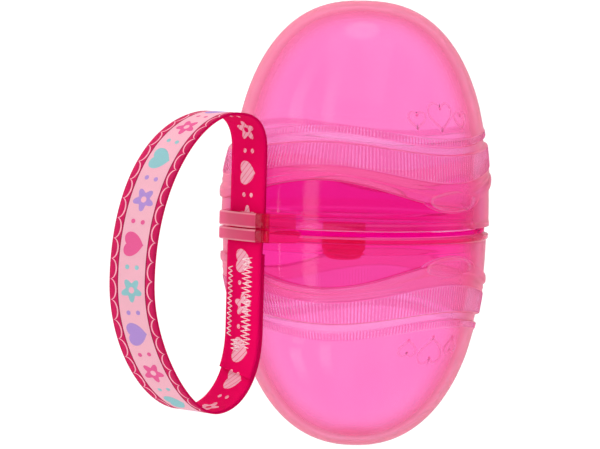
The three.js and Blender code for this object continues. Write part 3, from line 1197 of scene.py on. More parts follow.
@dataclass
class Cap:
    """A clear cap with its grip band, thumb dish and ribbon lug.

    Args:
        side: which side of the parting plane it lies on.
        node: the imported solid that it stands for.
        body: the body that it rides on.
        bead_proud: how far the bead at its rim stands out.
        lug_height: how tall its lug is.
    """

    side: Side
    node: str
    body: str
    bead_proud: float
    lug_height: float
    band: GripBand = GripBand()
    relief: HeartRelief = HeartRelief()
    wall: float = 1.8 * MM
    # Rim, from its seat on the flange up over the bead and the ledge, and the mouth's bore
    seat_height: float = 0.75 * MM
    edge_height: float = 1.1 * MM
    bead_height: float = 0.8 * MM
    ledge_height: float = 2.3 * MM
    ledge_proud: float = 0.12 * MM
    mouth_height: float = 5.3 * MM
    # Lug: lug_face is the height at which both lugs meet, and lug_gap the room between them
    lug_half_width: float = 13.5 * MM
    lug_face: float = 0.65 * MM
    lug_gap: float = 0.3 * MM
    lug_bevel: float = 0.45 * MM
    lug_reach: float = 40.4 * MM
    lug_root: float = 30.6 * MM
    lug_straight_share: float = 0.6
    # Slot for the ribbon, and where the satin finish of the bar outside it starts
    slot_inner: float = 36.1 * MM
    slot_outer: float = 38.5 * MM
    slot_half_width: float = 6.6 * MM
    slot_corner: float = 0.7 * MM
    satin_from: float = -5.0 * MM
    # Thumb dish, scooped out by a ball that is as deep as dish_ball
    dish_width: float = 14.5 * MM
    dish_height: float = 5.2 * MM
    dish_depth: float = 0.9 * MM
    dish_centre: float = 8.2 * MM
    dish_ball: float = 3 * MM
    dish_steps: int = 48
    # Groove in the bore for the divider's snap bead
    groove_height: float = 3.2 * MM
    groove_half: float = 0.5 * MM
    groove_depth: float = 0.3 * MM
    # Fineness of the mesh
    steps: int = 720
    inner_steps: int = 180
    dome_rings: int = 22
    inner_rings: int = 16
    lug_steps: int = 24
    smooth_below: float = math.radians(45)

    @property
    def outline(self) -> Outline:
        """The superellipse that the outside follows."""
        return BODY.outline(self.side)

    @property
    def end_radius(self) -> float:
        """Radius of the flat on its end; the upper cap is as good as round there."""
        return BODY.end_flat if self.side is Side.LOWER else BODY.end_tip

    def outer_heights(self) -> list[float]:
        """Heights of the rings of the outside, closer together over the steps of the band."""
        band = self.band
        step = band.step
        stops = (
            (4, self.ledge_height - step), (3, self.ledge_height + step),
            (8, band.foot - step), (4, band.foot),
            (12, band.foot + band.strip_height + band.strip_back / 2),
            (10, band.field_foot - step), (6, band.field_foot + 2 * step),
            (7, band.groove_foot - 2 * step), (6, band.groove_foot + step),
            (2, band.stripe_foot - step), (6, band.stripe_foot + 2 * step),
            (2, band.top - 2 * step), (6, band.top + step),
        )
        rings, start = [], self.edge_height
        for count, end in stops:
            rings += spaced(start, end, count)
            start = end
        return rings + self.outline.rings(start, self.outline.height_at(self.end_radius), self.dome_rings)

    def outside(self) -> bmesh.types.BMesh:
        """The outer skin from its rim to its end, with the waves, the ribs and the swell."""
        band = self.band
        still = self.ledge_height + band.step
        dome = 1.5 * band.top
        heights = self.outer_heights()
        profile = [(self.outline.radius_at(z), z) for z in heights] + [(0.0, heights[-1])]
        bm = spun(profile, self.steps)
        for vert in bm.verts:
            point = vert.co
            base = point.z
            if point.xy.length < MERGE:
                point.z *= self.side.value
                continue
            angle = front_angle(point)
            height = base + band.rise(angle, band.wave_at(base, still, dome))
            height -= self.lip(angle) * self.lip_share(base)
            rib = band.rib_depth / 2 * band.ribbed(base) * math.cos(band.ribs * angle)
            radius = self.outline.radius_at(height) + band.proud(base) + rib
            radius += self.rim_proud(base) + BODY.swell(angle, height)
            placed(point, angle, radius, self.side.value * height)
        return bm

    def lip(self, angle: float) -> float:
        """How far the roll's foot dips round the thumb dish at an angle from the front."""
        share = angle * self.outline.radius / self.band.lip_reach
        return self.band.lip_dip * math.sqrt(max(0.0, 1 - share ** 2)) if abs(share) < 1 else 0.0

    def lip_share(self, base: float) -> float:
        """The share of the dip that a height takes: whole at the foot and none at the rim."""
        band = self.band
        rim = self.ledge_height + band.step
        below = eased((base - rim) / (band.foot - band.step - rim))
        above = 1 - eased((base - band.foot - band.step) / band.strip_height)
        return below * above

    def rim_proud(self, base: float) -> float:
        """How far the rim's bead or ledge stands out at a height."""
        bead = 1 - eased((base - self.edge_height - self.bead_height) / (2 * self.band.step))
        ledge = 1 - eased((base - self.ledge_height + self.band.step) / (2 * self.band.step))
        return self.bead_proud * bead + self.ledge_proud * ledge

    def inside(self) -> bmesh.types.BMesh:
        """The inner wall, from the mouth's bore with its snap groove to the end."""
        inner = self.outline.inset(self.wall)
        flat = inner.height_at(self.end_radius)
        groove = BODY.bore + self.groove_depth
        profile = [
            (BODY.bore, self.seat_height),
            (BODY.bore, self.groove_height - 2 * self.groove_half),
            (groove, self.groove_height - self.groove_half),
            (groove, self.groove_height + self.groove_half),
            (BODY.bore, self.groove_height + 2 * self.groove_half),
            (BODY.bore, self.mouth_height),
            *[
                (min(BODY.bore, inner.radius_at(z)), z)
                for z in inner.rings(self.mouth_height + self.wall, flat, self.inner_rings)
            ],
            (0.0, flat),
        ]
        bm = spun(profile, self.inner_steps)
        swelled(bm, self.side.value)
        return bm

    def shell(self) -> bpy.types.Object:
        """The cap's closed wall: the outer skin, the rim and the inner wall."""
        bm = self.outside()
        lining = bpy.data.meshes.new("lining")
        inner = self.inside()
        inner.to_mesh(lining)
        inner.free()
        bm.from_mesh(lining)
        bpy.data.meshes.remove(lining)
        rims = [edge for edge in bm.edges if edge.is_boundary]
        bmesh.ops.bridge_loops(bm, edges=rims)
        return finished(bm, self.node.replace("shell", "cap"))

    def lug_edge(self, share: float, radius: float, out: float) -> Vector:
        """A point of the lug's plan at a share of its half turn from the ribbon."""
        turn = share * math.asin(self.lug_half_width / BODY.wall_at_ribbon)
        reach = radius + BODY.swell(turn - TURN / 4, 0.0)
        return Vector((-reach * math.cos(turn) - out, reach * math.sin(turn), 0.0))

    def lug(self) -> bpy.types.Object:
        """The lug: a bar with a ribbon slot, which runs back into the wall."""
        rise = self.lug_reach - BODY.wall_at_ribbon
        widest = max(BODY.upper.radius, BODY.lower.radius)
        shares = [i / self.lug_steps - 1 for i in range(2 * self.lug_steps + 1)]
        bm = bmesh.new()
        outer, root = [], []
        for share in shares:
            past = (abs(share) - self.lug_straight_share) / (1 - self.lug_straight_share)
            out = rise * (1 - eased(past))
            radius = self.outline.radius - self.band.neck + (widest - self.outline.radius) * out / rise
            outer.append(bm.verts.new(self.lug_edge(share, radius, out)))
            root.append(bm.verts.new(self.lug_edge(share, self.lug_root, 0.0)))
        face = bm.faces.new(outer + root[::-1])
        top = bmesh.ops.extrude_face_region(bm, geom=[face])["geom"]
        lifted = [item for item in top if isinstance(item, bmesh.types.BMVert)]
        bmesh.ops.translate(bm, vec=(0, 0, self.lug_height), verts=lifted)
        level = [
            edge for edge in bm.edges
            if abs(edge.verts[0].co.z - edge.verts[1].co.z) < self.lug_bevel and len(edge.link_faces) == 2
        ]
        bmesh.ops.bevel(bm, geom=level, offset=self.lug_bevel, segments=4, **BEVEL)
        bmesh.ops.translate(bm, vec=(0, 0, self.lug_gap / 2), verts=bm.verts)
        bmesh.ops.scale(bm, vec=(1, 1, self.side.value), verts=bm.verts)
        bmesh.ops.translate(bm, vec=(0, 0, self.lug_face), verts=bm.verts)
        lug = finished(bm, "lug")
        combined(lug, self.rim_room(), "DIFFERENCE")
        middle = (self.slot_inner + self.slot_outer) / 2
        slot = rounded_box(
            "slot",
            Vector((self.slot_outer - self.slot_inner, 2 * self.slot_half_width, 4 * self.lug_height)),
            Vector((-middle, 0, 0)), self.slot_corner,
        )
        combined(lug, slot, "DIFFERENCE")
        return lug

    def rim_room(self) -> bpy.types.Object:
        """The room between the rims for the divider's flange; the lug starts outside it."""
        low, high = -self.seat_height, self.seat_height
        radius = self.outline.radius
        bm = spun([(0.0, low), (radius, low), (radius, high), (0.0, high)], 2 * self.inner_steps)
        swelled(bm)
        return finished(bm, "rim_room")

    def dish(self) -> bpy.types.Object:
        """The flattened ball that scoops out the thumb dish."""
        roll = self.outline.radius_at(self.dish_centre) + self.band.roll_proud
        centre = roll - self.band.roll_proud - self.dish_depth + self.dish_ball
        share = math.sqrt(1 - ((centre - roll) / self.dish_ball) ** 2)
        sides = math.sqrt(roll ** 2 - (self.dish_width / 2) ** 2)
        across = math.sqrt(1 - ((centre - sides) / self.dish_ball) ** 2)
        bm = bmesh.new()
        bmesh.ops.create_uvsphere(
            bm, u_segments=2 * self.dish_steps, v_segments=self.dish_steps, radius=1,
        )
        size = (self.dish_width / 2 / across, self.dish_ball, self.dish_height / 2 / share)
        bmesh.ops.scale(bm, vec=size, verts=bm.verts)
        bmesh.ops.translate(bm, vec=(0, -centre, self.side.value * self.dish_centre), verts=bm.verts)
        return finished(bm, "dish")

    def frosted(self, centre: Vector) -> bool:
        """True for a face of the lug's outer bar, which has a satin finish but for its front end."""
        if abs(centre.z - self.lug_face) > self.lug_height + self.lug_gap:
            return False
        if centre.y < self.satin_from:
            return False
        outside = -self.slot_outer if centre.y < self.slot_half_width else -self.slot_inner + MM
        return centre.x < outside

    def finish_at(self, centre: Vector) -> Dress:
        """Which finish a face has, from the place of its middle."""
        if self.frosted(centre):
            return Dress.SATIN_BAR
        angle, height = front_angle(centre), abs(centre.z)
        proud = centre.xy.length - self.outline.radius_at(height) - BODY.swell(angle, height)
        if abs(centre.z - self.lug_face) < self.lug_height + self.lug_gap and proud > 2 * self.ledge_proud:
            return Dress.LUG
        beside = abs(angle - self.relief.angle) < self.relief.half_turn
        level = abs(height - self.relief.height) < self.relief.half_height
        if beside and level and proud > self.relief.rise / 4:
            return Dress.RELIEF
        band = self.band
        foot = height - band.rise(angle, band.foot_wave) + self.lip(angle)
        banded = foot > band.foot - band.step and height - band.rise(angle, band.field_wave) < band.top
        return Dress.BAND if banded and proud > -self.wall / 2 else Dress.MOULDING

    def build(self, finishes: list[bpy.types.Material]) -> bpy.types.Object:
        """Makes the cap and dresses it.

        Args:
            finishes: the materials, in the order of Dress.

        Returns:
            The finished cap, riding on its body.
        """
        cap = self.shell()
        combined(cap, self.lug(), "UNION")
        combined(cap, self.dish(), "DIFFERENCE")
        combined(cap, self.relief.build(self.side), "UNION")
        cap.data.materials.clear()
        for finish in finishes:
            cap.data.materials.append(finish)
        for polygon in cap.data.polygons:
            polygon.material_index = self.finish_at(polygon.center)
            polygon.use_smooth = True
        cap.data.set_sharp_from_angle(angle=self.smooth_below)
        cap.data.transform(Matrix.Translation((0, 0, BODY.parting)))
        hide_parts(self.node)
        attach(cap, self.body)
        return cap


# Divider


@dataclass
class Divider:
    """The tinted disc between the caps, with a collar each way, a rim flange and a boss."""

    node: str = "divider"
    body: str = "divider_and_ribbon"
    collar_wall: float = 1.5 * MM
    collar_height: float = 5 * MM
    collar_lead: float = 0.6 * MM
    disc: float = 1.5 * MM
    flange_radius: float = 31.4 * MM
    flange: float = 0.9 * MM
    # Bead round each collar that snaps into the cap's groove
    snap_height: float = 3.2 * MM
    snap_proud: float = 0.2 * MM
    snap_half: float = 0.5 * MM
    # Boss under the disc
    boss_radius: float = 5.4 * MM
    boss_drop: float = 8.2 * MM
    boss_offset: float = 5 * MM
    boss_round: float = 2.8 * MM
    # Rounding of the edges that turn by more than edge_angle
    edge_round: float = 0.18 * MM
    edge_angle: float = math.radians(50)
    steps: int = 240
    boss_steps: int = 96

    @property
    def collar_radius(self) -> float:
        """Outside of the collars, one fit gap inside the caps' bore."""
        return BODY.bore - BODY.fit_gap

    def half(self, side: int) -> list[tuple[float, float]]:
        """The section from the flange to the axis on one side of the parting plane."""
        collar = self.collar_radius
        inner = collar - self.collar_wall
        points = [
            (self.flange_radius, self.flange / 2),
            (collar, self.flange / 2),
            (collar, self.snap_height - self.snap_half),
            (collar + self.snap_proud, self.snap_height),
            (collar, self.snap_height + self.snap_half),
            (collar, self.collar_height - self.collar_lead),
            (collar - self.collar_lead, self.collar_height),
            (inner, self.collar_height),
            (inner, self.disc / 2),
            (0.0, self.disc / 2),
        ]
        return [(radius, side * height) for radius, height in points]

    def is_deep(self, centre: Vector) -> bool:
        """True for a face of the boss or the flange, where the plastic is thick and looks deeper."""
        if centre.xy.length > self.collar_radius + self.edge_round and abs(centre.z) < self.disc:
            return True
        beside = (centre.xy - Vector((-self.boss_offset, 0))).length
        return beside < self.boss_radius + self.edge_round and centre.z < -self.disc / 2

    def build(self, clear: bpy.types.Material, deep: bpy.types.Material) -> bpy.types.Object:
        """Makes the divider and dresses it.

        Args:
            clear: the material of the disc and the collars.
            deep: the material of the flange and the boss.

        Returns:
            The finished divider, riding on its body.
        """
        bm = spun(self.half(-1)[::-1] + self.half(1), self.steps)
        swelled(bm)
        divider = finished(bm, "divider_ring")
        rounding = divider.modifiers.new("edges", "BEVEL")
        rounding.width = self.edge_round
        rounding.segments = 3
        rounding.limit_method = "ANGLE"
        rounding.angle_limit = self.edge_angle
        applied(divider)
        combined(divider, self.boss(), "UNION")
        divider.data.materials.clear()
        divider.data.materials.append(clear)
        divider.data.materials.append(deep)
        for polygon in divider.data.polygons:
            polygon.material_index = 1 if self.is_deep(polygon.center) else 0
            polygon.use_smooth = True
        divider.data.set_sharp_from_angle(angle=math.radians(SMOOTH_BELOW))
        divider.data.transform(Matrix.Translation((0, 0, BODY.parting)))
        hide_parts(self.node)
        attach(divider, self.body)
        return divider

    def boss(self) -> bpy.types.Object:
        """The round boss under the disc."""
        bm = bmesh.new()
        bmesh.ops.create_cone(
            bm, cap_ends=True, segments=self.boss_steps,
            radius1=self.boss_radius, radius2=self.boss_radius, depth=self.boss_drop,
        )
        foot = [edge for edge in bm.edges if all(vert.co.z < 0 for vert in edge.verts)]
        bmesh.ops.bevel(bm, geom=foot, offset=self.boss_round, segments=8, **BEVEL)
        bmesh.ops.translate(bm, vec=(-self.boss_offset, 0, -self.boss_drop / 2), verts=bm.verts)
        return finished(bm, "boss")


# Ribbon


@dataclass
class Ribbon:
    """The woven ribbon: one band threaded through both slots and sewn to itself as a loop."""

    node: str = "strap_ribbon"
    body: str = "divider_and_ribbon"
    width: float = 12 * MM
    thickness: float = 0.55 * MM
    layer_gap: float = 0.12 * MM
    # Course of the loop's middle line, as distances from the axis and heights
    near: float = 37.15 * MM
    shift: float = 0.45 * MM
    reach: float = 35.8 * MM
    top: float = 28.1 * MM
    bottom: float = -42.6 * MM
    top_reach: float = 9.2 * MM
    bottom_reach: float = 13.8 * MM
    far_height: float = -11 * MM
    straight_top: float = 19 * MM
    straight_bottom: float = -24 * MM
    # Where the sewn overlap ends, and how long it is
    overlap_top: float = -5.5 * MM
    overlap: float = 28.5 * MM
    # How round each corner is: the shares of the way to it that the curves' handles take
    near_corner_share: float = 0.68
    top_corner_share: float = 0.68
    top_far_share: float = 0.42
    far_corner_share: float = 0.5
    bottom_far_share: float = 0.44
    bottom_corner_share: float = 0.6
    # The far side's turn about its own line, the cut end's slant and the step where the overlap ends
    far_turn: float = math.radians(18)
    cut_slant: float = 2.2 * MM
    lap_rest: float = 1.5 * MM
    lap_run: float = 4 * MM
    # Fineness of the line and of the mesh
    straight_steps: int = 60
    bend_steps: int = 80
    segments_along: int = 430
    segments_across: int = 12
    line: list[Vector] = field(default_factory=list)
    places: list[float] = field(default_factory=list)

    def trace(self) -> None:
        """Traces the loop's middle line from its lower straight end up.

        Its points are distances from the axis and heights.
        """
        far = self.near + self.reach
        top_x = self.near + self.top_reach
        bottom_x = self.near + self.bottom_reach
        knees = (
            ((self.near, self.straight_top),
             (self.near, between(self.straight_top, self.top, self.near_corner_share)),
             (between(top_x, self.near, self.near_corner_share), self.top), (top_x, self.top)),
            ((top_x, self.top), (between(top_x, far, self.top_far_share), self.top),
             (far, between(self.far_height, self.top, self.top_corner_share)), (far, self.far_height)),
            ((far, self.far_height), (far, between(self.far_height, self.bottom, self.far_corner_share)),
             (between(bottom_x, far, self.bottom_far_share), self.bottom), (bottom_x, self.bottom)),
            ((bottom_x, self.bottom), (between(bottom_x, self.near, self.bottom_corner_share), self.bottom),
             (self.near, between(self.straight_bottom, self.bottom, self.bottom_corner_share)),
             (self.near, self.straight_bottom)),
        )
        heights = spaced(self.straight_bottom, self.straight_top, self.straight_steps)
        points = [Vector((self.near, height)) for height in heights]
        for start, first, second, end in knees:
            for t in spaced(0.0, 1.0, self.bend_steps):
                points.append(
                    (1 - t) ** 3 * Vector(start) + 3 * t * (1 - t) ** 2 * Vector(first)
                    + 3 * t * t * (1 - t) * Vector(second) + t ** 3 * Vector(end)
                )
        points.append(Vector((self.near, self.straight_bottom)))
        self.line = points
        self.places = [0.0]
        for before, after in zip(points, points[1:]):
            self.places.append(self.places[-1] + (after - before).length)

    @property
    def loop_length(self) -> float:
        """Length once round the loop."""
        return self.places[-1]

    def at(self, distance: float) -> tuple[Vector, Vector]:
        """The middle line at a distance round the loop.

        Args:
            distance: how far from the lower end of the straight run; it may pass the ends.

        Returns:
            The point, and the direction out of the loop, both as distance from the axis and height.
        """
        held = distance % self.loop_length
        low, high = 0, len(self.places) - 1
        while high - low > 1:
            middle = (low + high) // 2
            if self.places[middle] <= held:
                low = middle
            else:
                high = middle
        share = (held - self.places[low]) / (self.places[high] - self.places[low])
        point = self.line[low].lerp(self.line[high], share)
        after = self.line[high] - self.line[low]
        before = self.line[low] - self.line[low - 1] if low else after
        tangent = before.normalized().lerp(after.normalized(), 0.5 + share / 2).normalized()
        return point, Vector((-tangent.y, tangent.x))

    def depth(self, distance: float) -> float:
        """How far the band lies inside the middle line: one layer until it has passed the sewn overlap."""
        overlap_end = self.overlap_top - self.straight_bottom
        past = (distance - overlap_end - self.lap_rest) / self.lap_run
        return (self.thickness + self.layer_gap) * (1 - eased(past))

    def turn(self, distance: float) -> float:
        """How far the band is turned about its own line: whole on the far side of the loop."""
        point, _ = self.at(distance)
        share = (point.x - self.near - self.reach / 3) / (self.reach * 2 / 3)
        return self.far_turn * eased(share)

    def surface(self, distance: float, across: float, lift: float) -> Vector:
        """A point on the band.

        Args:
            distance: the distance round the loop.
            across: the place across the band, from the front edge at minus half its width.
            lift: how far out of the loop the point lies from the band's middle.

        Returns:
            The point, with heights from the parting plane.
        """
        point, out = self.at(distance)
        outward = Vector((-out.x, 0, out.y))
        turn = self.turn(distance)
        crosswise = Vector((0, 1, 0)) * math.cos(turn) + outward * math.sin(turn)
        raised = Vector((0, -1, 0)) * math.sin(turn) + outward * math.cos(turn)
        middle = Vector((-point.x, self.shift, point.y)) + outward * (-self.depth(distance))
        return middle + crosswise * across + raised * lift

    def build(self, face: bpy.types.Material, back: bpy.types.Material) -> bpy.types.Object:
        """Makes the band and dresses it.

        Args:
            face: the material of the face that looks out of the loop.
            back: the material of the face that looks into it.

        Returns:
            The finished band, riding on the divider's body.
        """
        self.trace()
        tail = self.overlap - (self.overlap_top - self.straight_bottom)
        length = self.loop_length + self.overlap
        bm = bmesh.new()
        bmesh.ops.create_grid(
            bm, x_segments=self.segments_along, y_segments=self.segments_across, size=0.5,
        )
        uv = bm.loops.layers.uv.new("ribbon")
        for bm_face in bm.faces:
            for loop in bm_face.loops:
                co = loop.vert.co
                loop[uv].uv = ((co.x + 0.5) * length, co.y * self.width)
        for vert in bm.verts:
            along, across = (vert.co.x + 0.5) * length, vert.co.y
            slant = self.cut_slant * (across - 0.5) * (1 - eased(along / self.width))
            vert.co = self.surface(along - tail + slant, across * self.width, 0.0)
        bm.faces.ensure_lookup_table()
        middle = bm.faces[len(bm.faces) // 2]
        middle.normal_update()
        if middle.normal.x < 0:
            bmesh.ops.reverse_faces(bm, faces=bm.faces)
        for bm_face in bm.faces:
            bm_face.smooth = True
        mesh = bpy.data.meshes.new("ribbon_loop")
        bm.to_mesh(mesh)
        bm.free()
        ribbon = bpy.data.objects.new("ribbon_loop", mesh)
        bpy.context.scene.collection.objects.link(ribbon)
        mesh.materials.append(face)
        mesh.materials.append(back)
        wall = ribbon.modifiers.new("thickness", "SOLIDIFY")
        wall.thickness = self.thickness
        wall.offset = 0
        wall.material_offset = 1
        wall.material_offset_rim = 1
        applied(ribbon)
        ribbon.data.transform(Matrix.Translation((0, 0, BODY.parting)))
        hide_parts(self.node)
        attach(ribbon, self.body)
        return ribbon


@dataclass(frozen=True)
class StitchRow:
    """A zigzag of stitches.

    Args:
        top: the height of its first stitch.
        bottom: the height of its last stitch.
        middle: its place across the band.
        half_width: how far it swings.
        pitch: the distance from one zig to the next.
    """

    top: float
    bottom: float
    middle: float
    half_width: float
    pitch: float


@dataclass
class Stitching:
    """The dense zigzags that close the loop, on the inner face of the overlap.

    Args:
        ribbon: the band that they are sewn through.
        thread: half the width of the thread.
        lift: how far its middle stands off the band, as a share of that.
        flat: how much less deep than wide the thread is.
        reach: half a stitch's length, as a share of the way between its needle holes.
        uneven: how much the swings differ, as a share of them.
        uneven_step: how quickly that changes from hole to hole, in radians.
        sides: how many sides the thread has.
        rings: how many rings a stitch has along its length.
        rows: the zigzags.
    """

    ribbon: Ribbon
    thread: float = 0.14 * MM
    lift: float = 0.3
    flat: float = 0.8
    reach: float = 0.54
    uneven: float = 0.12
    uneven_step: float = 2.1
    sides: int = 6
    rings: int = 5
    rows: tuple[StitchRow, ...] = (
        StitchRow(-6.5 * MM, -28.5 * MM, -1.3 * MM, 1.7 * MM, 1.15 * MM),
        StitchRow(-9 * MM, -26 * MM, 4.6 * MM, 0.8 * MM, 1.2 * MM),
        StitchRow(-26.5 * MM, -29.5 * MM, 2.0 * MM, 1.6 * MM, 1.2 * MM),
    )

    def knots(self, row: StitchRow) -> list[Vector]:
        """The needle holes of a row, on the band."""
        count = round((row.top - row.bottom) / row.pitch)
        lift = -(self.ribbon.thickness / 2 + self.thread * self.lift)
        points = []
        for i in range(2 * count + 1):
            height = between(row.top, row.bottom, i / (2 * count))
            uneven = 1 + self.uneven * math.sin(i * self.uneven_step)
            swing = row.half_width * (1 if i % 2 else -1) * uneven
            distance = height - self.ribbon.straight_bottom
            points.append(self.ribbon.surface(distance, row.middle + swing, lift))
        return points

    def build(self, thread: bpy.types.Material) -> bpy.types.Object:
        """Makes the stitches as short threads between needle holes."""
        bm = bmesh.new()
        for row in self.rows:
            holes = self.knots(row)
            for start, end in zip(holes, holes[1:]):
                along = end - start
                made = bmesh.ops.create_uvsphere(
                    bm, u_segments=self.sides, v_segments=self.rings, radius=1,
                )["verts"]
                size = Vector((self.thread, self.thread * self.flat, along.length * self.reach))
                bmesh.ops.scale(bm, vec=size, verts=made)
                turned = along.to_track_quat("Z", "X").to_matrix()
                bmesh.ops.rotate(bm, cent=(0, 0, 0), matrix=turned, verts=made)
                bmesh.ops.translate(bm, vec=(start + end) / 2, verts=made)
        bmesh.ops.translate(bm, vec=(0, 0, BODY.parting), verts=bm.verts)
        stitches = finished(bm, "ribbon_stitching", SMOOTH_ALL)
        stitches.data.materials.append(thread)
        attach(stitches, self.ribbon.body)
        return stitches


# Studio


@dataclass
class Studio:
    """The floor, the lamp, the surroundings and the camera.

    Args:
        azimuth: where the camera stands round the case, from the front towards +X.
        elevation: how far over the parting plane it stands.
        roll: how far it is rolled.
        distance: how far from the axis it stands.
        focal_pixels: its focal length in the photograph's pixels.
        frame_width: the photograph's width in pixels.
        frame_height: the photograph's height in pixels.
        parting_across: where the parting plane's middle lies in the photograph, from the left in pixels.
        parting_down: the same from the top.
        sensor: the camera's sensor width, in millimetres.
        nearest: the nearest thing that the camera sees.
        windows: the middle and half the width of each window, in degrees round the camera's side.
        window_soft: how soft their edges are, in degrees to each side.
        window_foot: between which rises of a ray a window starts.
        window_head: between which rises of a ray a window fades.
        window_light: how bright a window is.
        sky: the direction of the patch of sky.
        sky_edge: between which closenesses to that direction the patch starts.
        sky_light: how bright it is.
        dim_share: how much darker the camera's side of the room is.
        dim_edge: between which shares of the way towards the camera that starts.
        first_depth: the depth of ray after which a mirror sees plain white.
        white_light: how bright the white background is.
        floor_radius: the floor's radius.
        floor_drop: how far under the case the floor lies.
        floor_colour: its colour.
        floor_white: how much of it is plain white.
        lamp_place: where the lamp stands.
        lamp_size: its width and height.
        lamp_power: its power in watts.
    """

    azimuth: float = math.radians(-45)
    elevation: float = math.radians(4)
    roll: float = math.radians(1.55)
    distance: float = 650 * MM
    focal_pixels: float = 2600.0
    frame_width: float = 600.0
    frame_height: float = 449.0
    parting_across: float = 358.4
    parting_down: float = 223.7
    sensor: float = 36.0
    nearest: float = 50 * MM
    windows: tuple[Span, ...] = ((-69.0, 7.5), (-33.8, 6.6))
    window_soft: float = 2.0
    window_foot: Span = (-0.8, -0.6)
    window_head: Span = (0.2, 0.9)
    window_light: float = 5.0
    sky: tuple[float, float, float] = (-0.02, 0.02, 1.0)
    sky_edge: Span = (0.965, 0.99)
    sky_light: float = 4.0
    dim_share: float = 0.9
    dim_edge: Span = (-0.1, 0.4)
    first_depth: float = 2.5
    white_light: float = 1.12
    floor_radius: float = 4.0
    floor_drop: float = 13 * MM
    floor_colour: Colour = (0.9, 0.9, 0.9)
    floor_white: float = 0.93
    lamp_place: tuple[float, float, float] = (-0.4, -0.3, 0.9)
    lamp_size: tuple[float, float] = (1.0, 1.0)
    lamp_power: float = 3.0

    def camera(self) -> bpy.types.Object:
        """The camera, aimed so that the parting plane's middle is where the photograph has it."""
        across = Vector((math.cos(self.azimuth), math.sin(self.azimuth), 0))
        towards = Vector((
            math.sin(self.azimuth) * math.cos(self.elevation),
            -math.cos(self.azimuth) * math.cos(self.elevation),
            math.sin(self.elevation),
        ))
        up = towards.cross(across)
        centre = Vector((0, 0, BODY.parting))
        right = (self.frame_width / 2 - self.parting_across) / self.focal_pixels * self.distance
        rise = (self.parting_down - self.frame_height / 2) / self.focal_pixels * self.distance
        aim = centre + across * right + up * rise
        data = bpy.data.cameras.new("camera")
        data.sensor_width = self.sensor
        data.lens = data.sensor_width * self.focal_pixels / self.frame_width
        data.clip_start = self.nearest
        camera = bpy.data.objects.new("camera", data)
        camera.location = centre + towards * self.distance
        look = (aim - camera.location).to_track_quat("-Z", "Y")
        camera.rotation_mode = "QUATERNION"
        camera.rotation_quaternion = look @ Matrix.Rotation(self.roll, 3, "Z").to_quaternion()
        bpy.context.scene.collection.objects.link(camera)
        bpy.context.scene.camera = camera
        return camera

    def lamp(self) -> bpy.types.Object:
        """A wide soft lamp over the case, which looks at it."""
        data = bpy.data.lights.new("top_lamp", "AREA")
        data.shape = "RECTANGLE"
        data.size, data.size_y = self.lamp_size
        data.energy = self.lamp_power
        lamp = bpy.data.objects.new("top_lamp", data)
        lamp.location = self.lamp_place
        aim = Vector((0, 0, BODY.parting)) - lamp.location
        lamp.rotation_mode = "QUATERNION"
        lamp.rotation_quaternion = aim.to_track_quat("-Z", "Y")
        bpy.context.scene.collection.objects.link(lamp)
        return lamp

    def shown(self, graph: Graph) -> Wire:
        """1 for rays that see the background: from the camera, a mirror or through clear plastic."""
        camera, mirror, clear = (
            graph.add("ShaderNodeLightPath", output=name)
            for name in ("Is Camera Ray", "Is Reflection Ray", "Is Transmission Ray")
        )
        return camera.either(mirror).either(clear)

    def light_seen(self, graph: Graph) -> Wire:
        """How bright a ray sees the room.

        It is white, but a mirror sees the camera's side of it dim, with two soft upright windows and a patch
        of sky.
        """
        heading = graph.add("ShaderNodeTexCoord", output="Generated")
        across, towards, up = (
            graph.add("ShaderNodeVectorMath", {"operation": "DOT_PRODUCT"}, heading, axis, output="Value")
            for axis in (
                (math.cos(self.azimuth), math.sin(self.azimuth), 0.0),
                (math.sin(self.azimuth), -math.cos(self.azimuth), 0.0),
                tuple(self.sky),
            )
        )
        rise = graph.apart(heading)[2]
        turn = across.maths("ARCTAN2", towards)
        first = graph.add("ShaderNodeLightPath", output="Ray Depth") < self.first_depth
        mirror = graph.add("ShaderNodeLightPath", output="Is Reflection Ray") * first
        dim = mirror * towards.soft_step(*self.dim_edge) * self.dim_share
        first_pane, second_pane = (
            1.0 - abs(turn - math.radians(middle)).soft_step(
                math.radians(half - self.window_soft), math.radians(half + self.window_soft),
            )
            for middle, half in self.windows
        )
        tall = rise.soft_step(*self.window_foot) * (1.0 - rise.soft_step(*self.window_head))
        window = first_pane.either(second_pane) * tall * self.window_light
        sky = up.soft_step(*self.sky_edge) * self.sky_light
        return (self.shown(graph) * (self.white_light - 1.0) + 1.0) * (1.0 - dim) + (window + sky) * mirror

    def floor(self) -> bpy.types.Object:
        """A plain pale floor, far enough under the case that the lower cap can be pulled down.

        A mirror sees past it to the room in the surroundings.
        """
        bm = bmesh.new()
        bmesh.ops.create_circle(bm, cap_ends=True, segments=96, radius=self.floor_radius)
        bmesh.ops.translate(bm, vec=(0, 0, -self.floor_drop), verts=bm.verts)
        floor = finished(bm, "floor")
        material = bpy.data.materials.new("floor_white")
        graph = Graph(material)
        matt = graph.add("ShaderNodeBsdfDiffuse", None, Color=(*self.floor_colour, 1.0))
        white = graph.add("ShaderNodeEmission", None, Color=(*WHITE, 1.0), Strength=self.white_light)
        share = self.shown(graph) * self.floor_white
        graph.surface(graph.add("ShaderNodeMixShader", None, share, matt, white))
        floor.data.materials.append(material)
        floor.visible_glossy = False
        return floor

    def surroundings(self) -> None:
        """White where the background shows, dim where a mirror sees the camera's side of the room."""
        world = bpy.data.worlds.new("surroundings")
        bpy.context.scene.world = world
        graph = Graph(world)
        strength = self.light_seen(graph)
        background = graph.add("ShaderNodeBackground", None, Color=(*WHITE, 1.0), Strength=strength)
        graph.add("ShaderNodeOutputWorld", None, background)

